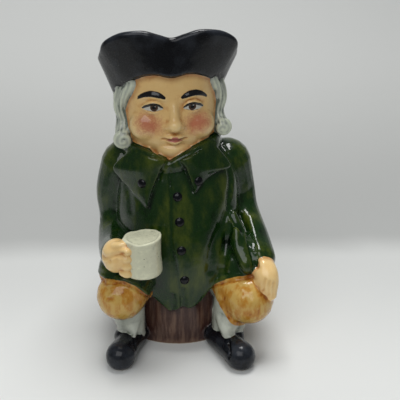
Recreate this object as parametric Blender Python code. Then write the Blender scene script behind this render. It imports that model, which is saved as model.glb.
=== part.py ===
"""A toby jug: a seated man in a three-cornered hat, cast in one piece of glazed earthenware.

The hat is the jug's mouth, and head, coat and barrel seat are hollow under it. The man faces -Y, and
+X is on the right of someone who looks at his face. The origin is the middle of the flat underside.
"""
import math

import bmesh
import bpy
import numpy as np
from mathutils import Matrix, Vector
from mathutils.bvhtree import BVHTree

# Driving sizes, in metres.
HEIGHT = 0.168
WALL = 0.0040
FLOOR = 0.0060
HANDLE_WIDTH = 0.0120
HANDLE_THICKNESS = 0.0080
HANDLE_REACH = 0.0600
MUG_RADIUS = 0.0096
MUG_HEIGHT = 0.0195
MUG_RIM = 0.0014
MUG_HOLLOW = 0.0015
BUTTON_RADIUS = 0.0024
BUTTON_LIFT = 0.0012

# The figure is drawn on a grid of this many units to its height, so its pose and carving keep their
# proportions. What follows with no size of its own is in those units.
GRID = 168.0
UNIT = HEIGHT / GRID

# How the forms are fused: the fineness of the clay, its smoothing, and the faces that are kept outside
# and in the hollow.
CLAY_GRAIN = 1.0 * UNIT
SMOOTHING_ROUNDS = 3
OUTSIDE_FACES = 8000
HOLLOW_FACES = 1500
RING_SIDES = 64

# Glazes: colour, roughness.
GLAZES = {
    "black_glaze": ((0.008, 0.009, 0.012), 0.12),
    "white_hair_glaze": ((0.62, 0.64, 0.57), 0.15),
    "flesh_glaze": ((0.74, 0.50, 0.31), 0.15),
    "green_glaze": ((0.018, 0.055, 0.016), 0.12),
    "mug_glaze": ((0.55, 0.55, 0.46), 0.20),
    "ochre_glaze": ((0.60, 0.31, 0.07), 0.15),
    "stocking_glaze": ((0.58, 0.60, 0.53), 0.18),
    "brown_glaze": ((0.10, 0.045, 0.035), 0.18),
    "inside_glaze": ((0.72, 0.69, 0.60), 0.15),
}


def clear_scene():
    for obj in list(bpy.data.objects):
        bpy.data.objects.remove(obj)


def at(x, y, z):
    """A point of the figure's own grid, in metres."""
    return Vector((x, y, z)) * UNIT


# Smooth curves through a few chosen values.

def smooth_between(before, start, end, after, share):
    """One value on a smooth curve that passes through start and end."""
    square, cube = share * share, share ** 3
    return 0.5 * (
        2 * start
        + (end - before) * share
        + (2 * before - 5 * start + 4 * end - after) * square
        + (3 * start - before - 3 * end + after) * cube
    )


def along(table, position):
    """The value at a position, from a table of (position, value) in rising order."""
    last = len(table) - 1
    if position <= table[0][0]:
        return table[0][1]
    if position >= table[last][0]:
        return table[last][1]
    index = max(i for i in range(last) if table[i][0] <= position)
    (p0, start), (p1, end) = table[index], table[index + 1]
    before = table[max(index - 1, 0)][1]
    after = table[min(index + 2, last)][1]
    return smooth_between(before, start, end, after, (position - p0) / (p1 - p0))


def around(table, angle):
    """The value at an angle in degrees, from a table for 0 to 180 that both sides share."""
    folded = abs((angle + 180.0) % 360.0 - 180.0)
    mirrored = [(-table[1][0], table[1][1])] + table + [(360.0 - table[-2][0], table[-2][1])]
    return along(mirrored, folded)


def route_of(points, steps):
    """Points of a smooth line through the chosen ones."""
    ends = [points[0]] + list(points) + [points[-1]]
    found = []
    for i in range(1, len(ends) - 2):
        for step in range(steps):
            found.append(smooth_between(*ends[i - 1:i + 3], step / steps))
    return found + [ends[-2]]


# Ways to make a closed form.

def new_form(name, bm, glaze):
    bmesh.ops.recalc_face_normals(bm, faces=bm.faces)
    mesh = bpy.data.meshes.new(name)
    bm.to_mesh(mesh)
    bm.free()
    mesh.materials.append(glaze_material(glaze))
    form = bpy.data.objects.new(name, mesh)
    bpy.context.scene.collection.objects.link(form)
    form.hide_render = True
    form.display_type = "WIRE"
    return form


def loft(name, rings, glaze):
    """A form with a skin over rings of equal count, and a flat cap at each end."""
    bm = bmesh.new()
    rows = [[bm.verts.new(p) for p in ring] for ring in rings]
    sides = len(rows[0])
    for low, high in zip(rows, rows[1:]):
        for i in range(sides):
            j = (i + 1) % sides
            bm.faces.new((low[i], low[j], high[j], high[i]))
    bm.faces.new(rows[0])
    bm.faces.new(rows[-1])
    bmesh.ops.triangulate(bm, faces=[f for f in bm.faces if len(f.verts) > 4])
    return new_form(name, bm, glaze)


def blob(name, centre, radii, glaze, turn=(0, 0, 0)):
    """An egg shape, turned by degrees about X, Y and Z."""
    bm = bmesh.new()
    size = Matrix.Diagonal((*[r * UNIT for r in radii], 1.0))
    rotation = Matrix.Identity(4)
    for axis, degrees in zip("XYZ", turn):
        rotation = Matrix.Rotation(math.radians(degrees), 4, axis) @ rotation
    place = Matrix.Translation(at(*centre)) @ rotation @ size
    bmesh.ops.create_uvsphere(bm, u_segments=28, v_segments=18, radius=1.0, matrix=place)
    return new_form(name, bm, glaze)


def limb(name, points, radii, glaze, side=(1, 0, 0), flat=1.0, sides=20, steps=6):
    """A tapering limb with round ends along a smooth line. flat is its depth over its width, which
    lies along side."""
    route = route_of([at(*p) for p in points], steps)
    share = [i / steps for i in range(len(route))]
    widths = [along(list(enumerate(radii)), s) * UNIT for s in share]
    bm = bmesh.new()
    rows = []

    def ring(centre, forward, scale):
        across = (Vector(side) - forward * forward.dot(Vector(side))).normalized()
        over = forward.cross(across)
        turns = [2 * math.pi * i / sides for i in range(sides)]
        return [
            bm.verts.new(centre + (across * math.cos(t) + over * math.sin(t) * flat) * scale)
            for t in turns
        ]

    forwards = []
    for i in range(len(route)):
        forwards.append((route[min(i + 1, len(route) - 1)] - route[max(i - 1, 0)]).normalized())
    caps = [math.radians(a) for a in (80, 60, 40, 20)]
    reach = min(1.0, flat)
    for a in caps:
        back = forwards[0] * widths[0] * math.sin(a) * reach
        rows.append(ring(route[0] - back, forwards[0], widths[0] * math.cos(a)))
    for centre, forward, width in zip(route, forwards, widths):
        rows.append(ring(centre, forward, width))
    for a in reversed(caps):
        ahead = forwards[-1] * widths[-1] * math.sin(a) * reach
        rows.append(ring(route[-1] + ahead, forwards[-1], widths[-1] * math.cos(a)))
    for low, high in zip(rows, rows[1:]):
        for i in range(sides):
            j = (i + 1) % sides
            bm.faces.new((low[i], low[j], high[j], high[i]))
    bm.faces.new(rows[0])
    bm.faces.new(rows[-1])
    return new_form(name, bm, glaze)


def angles(count=RING_SIDES):
    return [360.0 * i / count for i in range(count)]


# The hat: a brim turned up on three sides, so low corners stand between high flaps. 0 degrees is the front.

HAT_X = -4.6
HAT_FOOT_RADIUS = [(0, 29.5), (35, 28.7), (65, 27.4), (90, 27.0), (135, 28.4), (180, 29.6)]
HAT_FOOT_HEIGHT = [(0, 146.4), (35, 144.6), (60, 138.5), (90, 128.5), (135, 122.0), (180, 119.0)]
HAT_RIM_RADIUS = [(0, 30.5), (22, 33.3), (40, 38.2), (54, 41.4), (66, 38.6), (80, 36.6), (100, 35.2),
                  (130, 34.0), (158, 38.0), (180, 41.0)]
HAT_RIM_HEIGHT = [(0, 164.3), (12, 166.0), (26, 168.0), (42, 167.0), (54, 163.0), (66, 157.5), (80, 152.5),
                  (100, 151.0), (125, 154.0), (158, 152.5), (180, 149.0)]


def hat_ring(share, inset=0.0):
    """A ring of the hat, from its foot at share 0 to its rim at 1, set inwards by inset in metres."""
    ring = []
    for angle in angles():
        foot, rim = around(HAT_FOOT_RADIUS, angle), around(HAT_RIM_RADIUS, angle)
        low, high = around(HAT_FOOT_HEIGHT, angle), around(HAT_RIM_HEIGHT, angle)
        radius = (foot + (rim - foot) * share) * UNIT - inset
        turn = math.radians(angle)
        height = (low + (high - low) * share) * UNIT
        ring.append(Vector((HAT_X * UNIT + radius * math.sin(turn), -radius * math.cos(turn), height)))
    return ring


def make_hat():
    rings = [hat_ring(-0.02, 0.35 * WALL)] + [hat_ring(i / 8) for i in range(8)] + [hat_ring(0.97)]
    rings += [hat_ring(1.0, 0.2 * WALL), hat_ring(1.0, 0.6 * WALL)]
    return [loft("hat", rings, "black_glaze")]


# Upright shapes with an oval plan: where the axis stands, the half width, and the depth to the front
# and to the back, at each height. A higher roundness is squarer.

COAT = {
    "x": 0.0,
    "roundness": 2.25,
    "width": [(18, 38.6), (30, 38.8), (45, 37.4), (60, 34.5), (75, 33.5), (88, 32.0), (96, 28.0), (103, 21.0),
              (108, 17.0)],
    "front": [(18, 39.5), (30, 41.0), (45, 41.5), (58, 40.5), (72, 37.5), (85, 34.0), (95, 30.5), (103, 26.0),
              (108, 22.0)],
    "back": [(18, 38.8), (30, 38.8), (45, 36.8), (60, 34.4), (75, 32.4), (88, 30.0), (96, 27.6), (103, 24.0),
             (108, 21.0)],
}
HEAD = {
    "x": -3.8,
    "roundness": 2.25,
    "width": [(101, 10.0), (104, 16.0), (108, 20.0), (113, 22.6), (119, 23.9), (127, 24.4), (135, 24.4),
              (143, 24.0), (147, 24.0)],
    "front": [(101, 18.0), (104, 23.0), (108, 25.4), (113, 26.3), (119, 26.4), (127, 26.0), (135, 26.3),
              (143, 26.8), (147, 26.8)],
    "back": [(101, 20.0), (110, 24.0), (120, 26.0), (147, 26.0)],
}
HAIR = {
    "x": -3.8,
    "roundness": 2.5,
    "width": [(97, 24.0), (103, 27.6), (112, 26.2), (122, 26.9), (134, 26.4), (142, 25.6)],
    "front": [(97, 6.0), (103, 10.0), (142, 10.0)],
    "back": [(97, 26.0), (103, 29.0), (112, 27.8), (122, 28.6), (134, 28.0), (142, 27.0)],
}
# The hem's height at each angle: two points in front, high over the thighs, and low tails behind.
HEM = [(-180, 17.0), (-150, 18.0), (-120, 27.0), (-95, 38.0), (-75, 44.0), (-55, 44.0), (-42, 42.0), (-33, 37.0),
       (-24, 31.0), (-16, 25.5), (-10, 21.5), (-5, 24.6), (0, 24.2), (5, 24.0), (10, 27.0), (15, 31.0),
       (21, 36.5), (28, 42.0), (40, 44.0), (75, 44.0), (95, 38.0), (120, 27.0), (150, 18.0), (180, 17.0)]


def signed(angle):
    return (angle + 180.0) % 360.0 - 180.0


def plan_radius(shape, angle, height, inset=0.0):
    """Distance from the axis to the shape's side, in units, at an angle in degrees and a height in units."""
    width = along(shape["width"], height) - inset
    depth = along(shape["front" if abs(signed(angle)) < 90 else "back"], height) - inset
    sine, cosine = math.sin(math.radians(angle)), math.cos(math.radians(angle))
    power = shape["roundness"]
    return (abs(sine / width) ** power + abs(cosine / depth) ** power) ** (-1.0 / power)


def plan_ring(shape, height_of, inset=0.0):
    ring = []
    for angle in angles():
        height = height_of(angle)
        radius = plan_radius(shape, angle, height, inset)
        turn = math.radians(angle)
        ring.append(at(shape["x"] + radius * math.sin(turn), -radius * math.cos(turn), height))
    return ring


def front_of(shape, x, height):
    """The shape's front surface, as a y in units."""
    width, depth, power = along(shape["width"], height), along(shape["front"], height), shape["roundness"]
    return -depth * max(0.0, 1 - abs((x - shape["x"]) / width) ** power) ** (1 / power)


def flap(name, inner, outer, lift, glaze):
    """A raised, slightly domed panel on the coat's front, between two edges given as (x, z)."""
    across, down = 6, 10
    inner = route_of([Vector((x, 0, z)) for x, z in inner], 6)
    outer = route_of([Vector((x, 0, z)) for x, z in outer], 6)

    def on_edge(edge, share):
        return along(list(enumerate(edge)), share * (len(edge) - 1))

    rings = []
    for i in range(down + 1):
        start, end = on_edge(inner, i / down), on_edge(outer, i / down)
        top_row, under_row = [], []
        for j in range(across + 1):
            x, _, height = start.lerp(end, j / across)
            depth = front_of(COAT, x, height)
            rise = lift * (0.6 + 0.4 * math.sin(math.pi * j / across))
            top_row.append(at(x, depth - rise, height))
            under_row.append(at(x, depth + 2.5, height))
        rings.append(top_row + under_row[::-1])
    return loft(name, rings, glaze)


def make_coat():
    top = COAT["width"][-1][0]

    def hem(angle):
        return along(HEM, signed(angle))

    rings = [plan_ring(COAT, hem, 1.2)]
    for step in range(15):
        rings.append(plan_ring(COAT, lambda a, s=step / 14: 0.6 + hem(a) + (top - 0.6 - hem(a)) * s))
    forms = [loft("coat_body", rings, "green_glaze")]
    forms += [
        # Skirts of the coat that lie over the thighs.
        limb("left_skirt", [(-12, -6, 52), (-25, -24, 50), (-32.6, -31, 45)], [14, 13, 11.8], "green_glaze"),
        limb("left_lap", [(-14, -16, 46), (-24, -30, 44), (-28.6, -38.5, 39.8)], [14, 13, 11.6], "green_glaze"),
        limb("right_skirt", [(12, -6, 52), (24, -24, 48), (32, -33, 42)], [14, 14, 13], "green_glaze"),
        # Arms, from shoulder to cuff.
        limb("mug_arm", [(-27, 2, 91), (-31.8, 3, 76), (-32.2, 0, 63), (-33.2, -9, 55), (-34.3, -24, 54),
                         (-35, -38, 57.5)], [13.5, 11.8, 10.2, 10.3, 9.4, 8.0], "green_glaze"),
        limb("knee_arm", [(27, 1, 90), (31, 0, 76), (33, -5, 64), (37.3, -22, 54), (39.2, -36, 49.5)],
             [13.5, 11.6, 11.0, 9.8, 8.6], "green_glaze"),
        limb("pleat", [(25, -27, 70), (28, -33, 60), (33, -41, 50)], [4.0, 5.5, 6.0], "green_glaze"),
        # The collar stands round the neck.
        limb("left_collar", [(-7, -27, 100), (-17, -24.5, 104), (-25, -13, 105), (-22, 8, 106), (-4, 23, 107)],
             [2.8, 4.4, 4.8, 4.8, 4.6], "green_glaze"),
        limb("right_collar", [(-4, -27, 100), (8, -25, 105), (18, -15, 107.5), (19, 6, 108), (-4, 23, 107)],
             [2.8, 4.4, 4.8, 4.8, 4.6], "green_glaze"),
        flap("left_lapel", [(-7.5, 102), (-12.5, 95), (-16.5, 88), (-18.6, 80)],
             [(-20, 103), (-28, 95), (-27, 88), (-19.4, 80)], 2.8, "green_glaze"),
        flap("right_lapel", [(-1.5, 102), (2, 98), (4, 92.5), (6, 86)],
             [(15, 104), (23, 98), (17, 92), (7, 86)], 2.8, "green_glaze"),
    ]
    return forms


BUTTONS = [(-3.2, 85.6), (-2.5, 73.2), (-2.1, 58.7), (-0.7, 42.5), (-20.3, 91.0), (8.3, 92.4)]


def make_buttons():
    forms = []
    lift = BUTTON_LIFT / UNIT
    radius = BUTTON_RADIUS / UNIT
    for number, (x, height) in enumerate(BUTTONS):
        centre = (x, front_of(COAT, x, height) - (2.4 if number > 3 else 0.0), height)
        forms.append(blob(f"button_{number}", centre, (radius, lift + 0.6, radius), "black_glaze"))
    return forms


def make_head():
    x = HEAD["x"]
    heights = [101 + 46 * i / 23 for i in range(24)]
    forms = [
        loft("head", [plan_ring(HEAD, lambda _, z=z: z) for z in heights], "flesh_glaze"),
        blob("chin", (x + 0.4, -20.5, 107.0), (9.0, 7.0, 6.0), "flesh_glaze"),
        blob("nose", (x + 0.4, -28.0, 120.6), (3.7, 4.2, 3.3), "flesh_glaze"),
        limb("nose_bridge", [(x + 0.2, -24.6, 132.0), (x + 0.4, -27.6, 122.5)], [2.0, 2.7], "flesh_glaze"),
        blob("upper_lip", (x + 0.4, -26.6, 114.4), (6.2, 1.9, 1.3), "flesh_glaze"),
        blob("lower_lip", (x + 0.4, -26.0, 112.3), (5.0, 2.1, 1.4), "flesh_glaze"),
    ]
    for side in (-1, 1):
        forms += [
            blob(f"cheek_{side}", (x + 11.5 * side, -18.0, 119.0), (8.8, 8.2, 8.0), "flesh_glaze"),
            blob(f"nostril_{side}", (x + 0.4 + 3.1 * side, -26.6, 119.6), (2.0, 2.6, 1.9), "flesh_glaze"),
            blob(f"eye_{side}", (x + 9.8 * side, -22.9, 129.4), (4.9, 2.9, 2.7), "flesh_glaze"),
            limb(f"brow_{side}", [(x + 4.6 * side, -25.7, 133.8), (x + 10 * side, -24.6, 135.4),
                                  (x + 15.6 * side, -20.4, 133.6)], [1.4, 1.6, 1.2], "flesh_glaze"),
        ]
    return forms


def make_hair():
    x = HEAD["x"]
    forms = [
        loft("hair_mass", [plan_ring(HAIR, lambda _, z=z: z) for z in range(97, 143, 3)], "white_hair_glaze"),
        limb("left_lock", [(x - 22.0, -5, 136), (x - 24.0, -9, 128), (x - 22.8, -12, 119), (x - 23.6, -14, 112)],
             [4.6, 4.6, 4.2, 4.4], "white_hair_glaze"),
        limb("right_lock", [(x + 22.4, -5, 138), (x + 24.6, -9, 130), (x + 23.8, -12, 122), (x + 24.8, -14, 117)],
             [4.6, 4.6, 4.0, 4.2], "white_hair_glaze"),
        blob("left_curl", (x - 24.6, -17, 109.5), (5.0, 5.4, 6.6), "white_hair_glaze"),
        blob("right_curl", (x + 26.0, -17, 114.5), (4.8, 5.2, 5.6), "white_hair_glaze"),
    ]
    for number, turn in enumerate(range(-60, 61, 20)):
        sine, cosine = math.sin(math.radians(turn)), math.cos(math.radians(turn))
        down = [(25.5, 124), (26.5, 115), (25.6, 107), (27.6, 100)]
        points = [(x + r * sine, r * cosine, z) for r, z in down]
        forms.append(limb(f"back_lock_{number}", points, [3.6, 4.6, 4.4, 3.2], "white_hair_glaze"))
    return forms


BARREL_RADIUS = [(-2, 34.8), (0, 35.2), (12, 36.4), (26, 36.8), (40, 36.0), (50, 34.0)]


def make_barrel():
    rings = []
    for height in (-2, 0, 4, 10, 18, 26, 34, 42, 50):
        radius = along(BARREL_RADIUS, height)
        turns = [math.radians(a) for a in angles()]
        rings.append([at(radius * math.sin(t), -radius * math.cos(t), height) for t in turns])
    return [loft("barrel_seat", rings, "brown_glaze")]


def make_legs():
    return [
        limb("left_breeches", [(-16, -18, 40), (-26, -30, 38), (-33.1, -39.5, 34.5)], [12, 12.5, 12.8],
             "ochre_glaze"),
        limb("right_breeches", [(20, -20, 38), (28, -35, 34), (32.6, -44, 30.4)], [12, 13, 13.2],
             "ochre_glaze"),
        limb("left_stocking", [(-31, -36, 28), (-29, -34.5, 17), (-28, -34, 6)], [10.5, 8.0, 7.0],
             "stocking_glaze"),
        limb("right_stocking", [(27, -38.5, 30), (24.5, -38, 19), (22.5, -37.5, 6)], [11.6, 9.6, 8.0],
             "stocking_glaze"),
        limb("left_shoe", [(-25.5, -32, 5.5), (-30.5, -41, 6.0), (-35, -51.8, 6.0)], [6.0, 6.6, 7.7],
             "black_glaze"),
        limb("right_shoe", [(16.5, -37, 5.0), (21.5, -48, 5.8), (26.3, -59.5, 6.0)], [6.0, 6.8, 7.8],
             "black_glaze"),
        blob("left_shoe_top", (-30, -36.5, 8.0), (7.8, 7.8, 5.5), "black_glaze"),
        blob("right_shoe_top", (23.5, -42.5, 7.0), (7.6, 8.0, 5.5), "black_glaze"),
    ]


MUG_PLACE = (-21.8, -47.5, 51.0)


def disc_rings(centre, levels):
    """Rings about a vertical axis through centre in metres, from (radius, height) in metres."""
    turns = [math.radians(a) for a in angles(32)]
    return [
        [centre + Vector((radius * math.sin(t), -radius * math.cos(t), height)) for t in turns]
        for radius, height in levels
    ]


def make_mug():
    foot = at(*MUG_PLACE)
    levels = [(0.93 * MUG_RADIUS, 0.0), (1.04 * MUG_RADIUS, 0.0015), (MUG_RADIUS, 0.5 * MUG_HEIGHT),
              (0.97 * MUG_RADIUS, 0.9 * MUG_HEIGHT), (MUG_RADIUS, MUG_HEIGHT)]
    return [loft("mug", disc_rings(foot, levels), "mug_glaze")]


def make_hands():
    forms = [
        blob("mug_fist", (-35.2, -46.0, 59.0), (7.2, 7.0, 8.4), "flesh_glaze"),
        limb("knee_hand", [(40.3, -39, 47.5), (41.4, -46, 43.0), (41.2, -50.5, 37.5)], [6.4, 6.7, 5.4],
             "flesh_glaze"),
        limb("knee_thumb", [(36.8, -44, 46), (35.8, -50.5, 41), (36.6, -53.0, 36.0)], [2.6, 2.6, 2.1],
             "flesh_glaze"),
    ]
    for number in range(4):
        height = 65.2 - 4.0 * number
        points = [(-37.0, -50.5, height), (-32.0, -53.8, height), (-27.8, -53.0, height)]
        forms.append(limb(f"mug_finger_{number}", points, [2.5, 2.4, 2.2], "flesh_glaze", sides=12))
        x = 38.6 + 2.3 * number
        points = [(x, -51.0 + 0.9 * number, 40), (x + 0.4, -54.0 + 0.9 * number, 34.5),
                  (x + 0.2, -53.4 + 0.9 * number, 30.5 + 0.8 * number)]
        forms.append(limb(f"knee_finger_{number}", points, [2.0, 1.9, 1.6], "flesh_glaze", sides=12))
    return forms


HANDLE_X = -1.5


def make_handle():
    reach = HANDLE_REACH / UNIT
    thickness = HANDLE_THICKNESS / UNIT
    points = [(HANDLE_X, 24, 124), (HANDLE_X, 40, 130), (HANDLE_X, reach - 0.5 * thickness - 3, 121),
              (HANDLE_X, reach - 0.5 * thickness, 104), (HANDLE_X, reach - 0.5 * thickness - 4, 82),
              (HANDLE_X, 45, 62), (HANDLE_X, 28, 48)]
    half = 0.5 * HANDLE_WIDTH / UNIT
    widths = [1.15 * half, half, half, half, half, half, 1.15 * half]
    flat = HANDLE_THICKNESS / HANDLE_WIDTH
    return [limb("handle", points, widths, "green_glaze", flat=flat)]


# The hollow inside, from the hat's mouth down to the floor.

def hollow_ring(height, centre, width, front, back):
    ring = []
    for angle in angles():
        sine, cosine = math.sin(math.radians(angle)), math.cos(math.radians(angle))
        depth = front if cosine > 0 else back
        radius = ((sine / width) ** 2 + (cosine / depth) ** 2) ** -0.5
        ring.append(Vector((centre * UNIT + radius * sine, -radius * cosine, height)))
    return ring


# Where the wall follows the arms and thighs, which open off the main hollow.
LIMB_HOLLOWS = [
    ("mug_arm_hollow", [(-24, 2, 88), (-31.4, 3, 77), (-32.0, 0, 65), (-32.4, -7, 57)], [8.5, 7.2, 6.0, 5.4]),
    ("knee_arm_hollow", [(24, 1, 87), (30.6, 0, 77), (32.4, -4, 66), (34.8, -12, 59)], [8.5, 7.2, 6.2, 5.4]),
    ("left_thigh_hollow", [(-12, -10, 46), (-24, -25, 43), (-31, -34.5, 38.5)], [9.5, 8.6, 7.6]),
    ("right_thigh_hollow", [(12, -10, 46), (24, -28, 40), (31, -38, 34.5)], [9.5, 8.8, 8.2]),
]


def make_hollows():
    narrow = 0.9  # room for relief that is carved into the outside, in units
    rings = []
    for height, shrink in ((FLOOR, 0.86), (FLOOR + 0.0015, 0.94), (FLOOR + 0.004, 0.99), (14 * UNIT, 1.0)):
        width = ((along(BARREL_RADIUS, 0) - narrow) * UNIT - WALL) * shrink
        rings.append(hollow_ring(height, 0, width, width, width))
    for level in (32, 45, 60, 75, 86, 93):
        width, front, back = (
            (along(COAT[side], level) - narrow) * UNIT - WALL for side in ("width", "front", "back")
        )
        rings.append(hollow_ring(level * UNIT, 0, width * 0.97, front * 0.98, back))
    for level, width, front, back in ((101, 19.5, 21.5, 22.0), (110, 20.5, 22.5, 23.5)):
        rings.append(
            hollow_ring(level * UNIT, HEAD["x"] * 0.8, width * UNIT + 0.004 - WALL,
                        front * UNIT + 0.004 - WALL, back * UNIT + 0.004 - WALL)
        )
    rings += [hat_ring(-0.1, WALL + 1.2 * UNIT)]
    rings += [hat_ring(share, 1.12 * WALL) for share in (0.12, 0.3, 0.5, 0.7, 0.94)]
    rings += [hat_ring(share, 0.62 * WALL) for share in (1.01, 1.25)]
    hollows = [loft("hollow", rings, "inside_glaze")]
    for name, points, radii in LIMB_HOLLOWS:
        radii = [r + 4.0 - WALL / UNIT for r in radii]
        hollows.append(limb(name, points, radii, "inside_glaze"))
    return hollows


def make_ground():
    """What is below the flat underside, taken off the feet and the barrel."""
    bm = bmesh.new()
    place = Matrix.Translation((0, 0, -0.5 * HEIGHT)) @ Matrix.Diagonal((2 * HEIGHT, 2 * HEIGHT, HEIGHT, 1.0))
    bmesh.ops.create_cube(bm, size=1.0, matrix=place)
    return new_form("ground", bm, "inside_glaze")


def make_mug_hollow():
    foot = at(*MUG_PLACE) + Vector((0, 0, MUG_HEIGHT - MUG_HOLLOW))
    radius = MUG_RADIUS - MUG_RIM
    return loft("mug_hollow", disc_rings(foot, [(radius, 0), (radius, 3 * MUG_HOLLOW)]), "mug_glaze")


# Glazes, and fusing the forms into one casting.

def glaze_material(name):
    if name in bpy.data.materials:
        return bpy.data.materials[name]
    colour, roughness = GLAZES[name]
    material = bpy.data.materials.new(name)
    material.use_nodes = True
    shader = material.node_tree.nodes["Principled BSDF"]
    shader.inputs["Base Color"].default_value = (*colour, 1.0)
    shader.inputs["Roughness"].default_value = roughness
    shader.inputs["Metallic"].default_value = 0.0
    shader.inputs["Coat Weight"].default_value = 0.6
    material.diffuse_color = (*colour, 1.0)
    material.roughness = roughness
    return material


def applied(obj):
    """The object's mesh with its modifiers made real."""
    bpy.context.view_layer.update()
    graph = bpy.context.evaluated_depsgraph_get()
    mesh = bpy.data.meshes.new_from_object(obj.evaluated_get(graph))
    obj.modifiers.clear()
    obj.data = mesh
    return obj


def fuse(name, forms, faces, grooves=()):
    """One object from overlapping forms, as clay that has been pressed together, smoothed and carved."""
    bm = bmesh.new()
    for form in forms:
        bm.from_mesh(form.data)
    mesh = bpy.data.meshes.new(name)
    bm.to_mesh(mesh)
    bm.free()
    fused = bpy.data.objects.new(name, mesh)
    bpy.context.scene.collection.objects.link(fused)
    clay = fused.modifiers.new("clay", "REMESH")
    clay.mode = "VOXEL"
    clay.voxel_size = CLAY_GRAIN
    smooth = fused.modifiers.new("smooth", "SMOOTH")
    smooth.factor = 0.5
    smooth.iterations = round(SMOOTHING_ROUNDS)
    applied(fused)
    carve(fused, grooves)
    thin = fused.modifiers.new("thin", "DECIMATE")
    thin.ratio = faces / (2 * len(fused.data.polygons))
    return applied(fused)


# Lines drawn into the clay: points near the surface, half width and depth.
GROOVES = [
    # The coat's front edge, and the fold beside it at the hem.
    ([(-7.2, -29.6, 101), (-6.4, -32.5, 88), (-6.7, -39.3, 62), (-5.0, -40.8, 52), (-5.5, -40.8, 33),
      (-5.5, -38.5, 22)], 1.2, 1.3),
    ([(-0.9, -41.5, 38.5), (-2.6, -40.9, 30), (-2.3, -38.5, 23)], 1.2, 1.2),
    # Under the lapels.
    ([(-34.6, -7.5, 95), (-31.8, -10.6, 90), (-28, -19, 86.5), (-22.6, -29, 81.5), (-18.6, -33, 78.2)],
     1.2, 1.0),
    ([(6.0, -34, 84.2), (11.8, -32.5, 89.0), (18.6, -27.6, 92.6), (26, -14, 95.6)], 1.2, 1.0),
    # Folds between the sleeve and the skirt, and across the elbows.
    ([(31.4, -20, 67), (33.2, -30, 62), (33.2, -40, 58.5), (34.6, -46, 51.5)], 1.3, 1.5),
    ([(27.0, -32, 68.5), (24.0, -36.4, 59), (21.6, -39.4, 51), (20.1, -39.9, 44)], 1.6, 1.3),
    ([(-43, -3, 60.5), (-40, -9, 63), (-34, -12.7, 66.5), (-28, -23, 72)], 1.5, 1.2),
    ([(-43, -14, 58), (-39, -20, 61.5), (-32, -20.3, 63.5), (-27, -26, 66.4)], 1.3, 1.0),
    ([(42, 2, 68), (38, -8, 68), (33, -14, 70)], 1.5, 0.7),
    # The coat's tails part behind.
    ([(0, 36, 44), (0, 38, 34), (0, 38.8, 18)], 1.3, 1.5),
    # Where breeches end over the stockings.
    ([(20.5, -44, 33), (22.5, -50, 27), (27, -54, 21), (33, -53, 18)], 0.9, 0.8),
]
GROOVES += [
    # Between the locks of hair at the back.
    ([(-3.8 + 29 * math.sin(math.radians(turn)), 30 * math.cos(math.radians(turn)), z)
      for z in (122, 114, 106, 99)], 1.2, 1.0)
    for turn in range(-70, 71, 20)
]


def carve(jug, grooves):
    """Presses lines into the surface, each along the surface points nearest to the ones given."""
    count = len(jug.data.vertices)
    places = np.empty(3 * count)
    jug.data.vertices.foreach_get("co", places)
    places = places.reshape(-1, 3)
    normals = np.array([tuple(v.normal) for v in jug.data.vertices])
    tree = BVHTree.FromObject(jug, bpy.context.evaluated_depsgraph_get())
    sunk = np.zeros(count)
    for points, width, depth in grooves:
        line = [tree.find_nearest(p)[0] for p in route_of([at(*p) for p in points], 16)]
        gaps = np.full(count, 1.0)
        for point in line:
            gaps = np.minimum(gaps, ((places - np.array(point)) ** 2).sum(axis=1))
        sunk = np.maximum(sunk, depth * UNIT * np.exp(-gaps / (width * UNIT) ** 2))
    places -= normals * sunk[:, None]
    jug.data.vertices.foreach_set("co", places.ravel())
    jug.data.update()


def cut(jug, cutter):
    boolean = jug.modifiers.new(cutter.name, "BOOLEAN")
    boolean.operation = "DIFFERENCE"
    boolean.solver = "EXACT"
    boolean.object = cutter
    return applied(jug)


def paint(jug, forms):
    """Gives each face the glaze of the form that it lies nearest to."""
    graph = bpy.context.evaluated_depsgraph_get()
    trees = [(BVHTree.FromObject(form, graph), form.data.materials[0].name) for form in forms]
    names = list(GLAZES)
    jug.data.materials.clear()
    for name in names:
        jug.data.materials.append(glaze_material(name))
    for face in jug.data.polygons:
        nearest = min((tree.find_nearest(face.center)[3] or 0.0, glaze) for tree, glaze in trees)
        face.material_index = names.index(nearest[1])


def main():
    clear_scene()
    forms = make_barrel() + make_legs() + make_coat() + make_buttons() + make_head() + make_hair()
    forms += make_hat() + make_mug() + make_hands() + make_handle()
    jug = fuse("toby_jug", forms, OUTSIDE_FACES, GROOVES)
    hollows = make_hollows()
    hollow = fuse("whole_hollow", hollows, HOLLOW_FACES)
    hollow.hide_render = True
    hollow.display_type = "WIRE"
    mug_hollow = make_mug_hollow()
    for cutter in (hollow, make_ground(), mug_hollow):
        cut(jug, cutter)
    paint(jug, forms + hollows + [mug_hollow])
    jug.data.shade_smooth()
    jug.data.set_sharp_from_angle(angle=math.radians(50))


main()
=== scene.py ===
"""A glazed earthenware toby jug: a seated man in a three-cornered hat, on a barrel seat, with a mug.

The jug is one casting. Its forms are fused like pressed clay, hollowed from the hat's mouth down, smoothed,
and then carved. Each glaze belongs to the forms that it is painted on, and its edge wanders a little, as a
brush does. The man faces -Y, and the origin is the middle of the flat underside.
"""
import math

import bmesh
import bpy
import numpy as np
from bpy.props import FloatProperty, FloatVectorProperty, IntProperty, PointerProperty
from mathutils import Euler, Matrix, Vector
from mathutils.bvhtree import BVHTree


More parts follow.
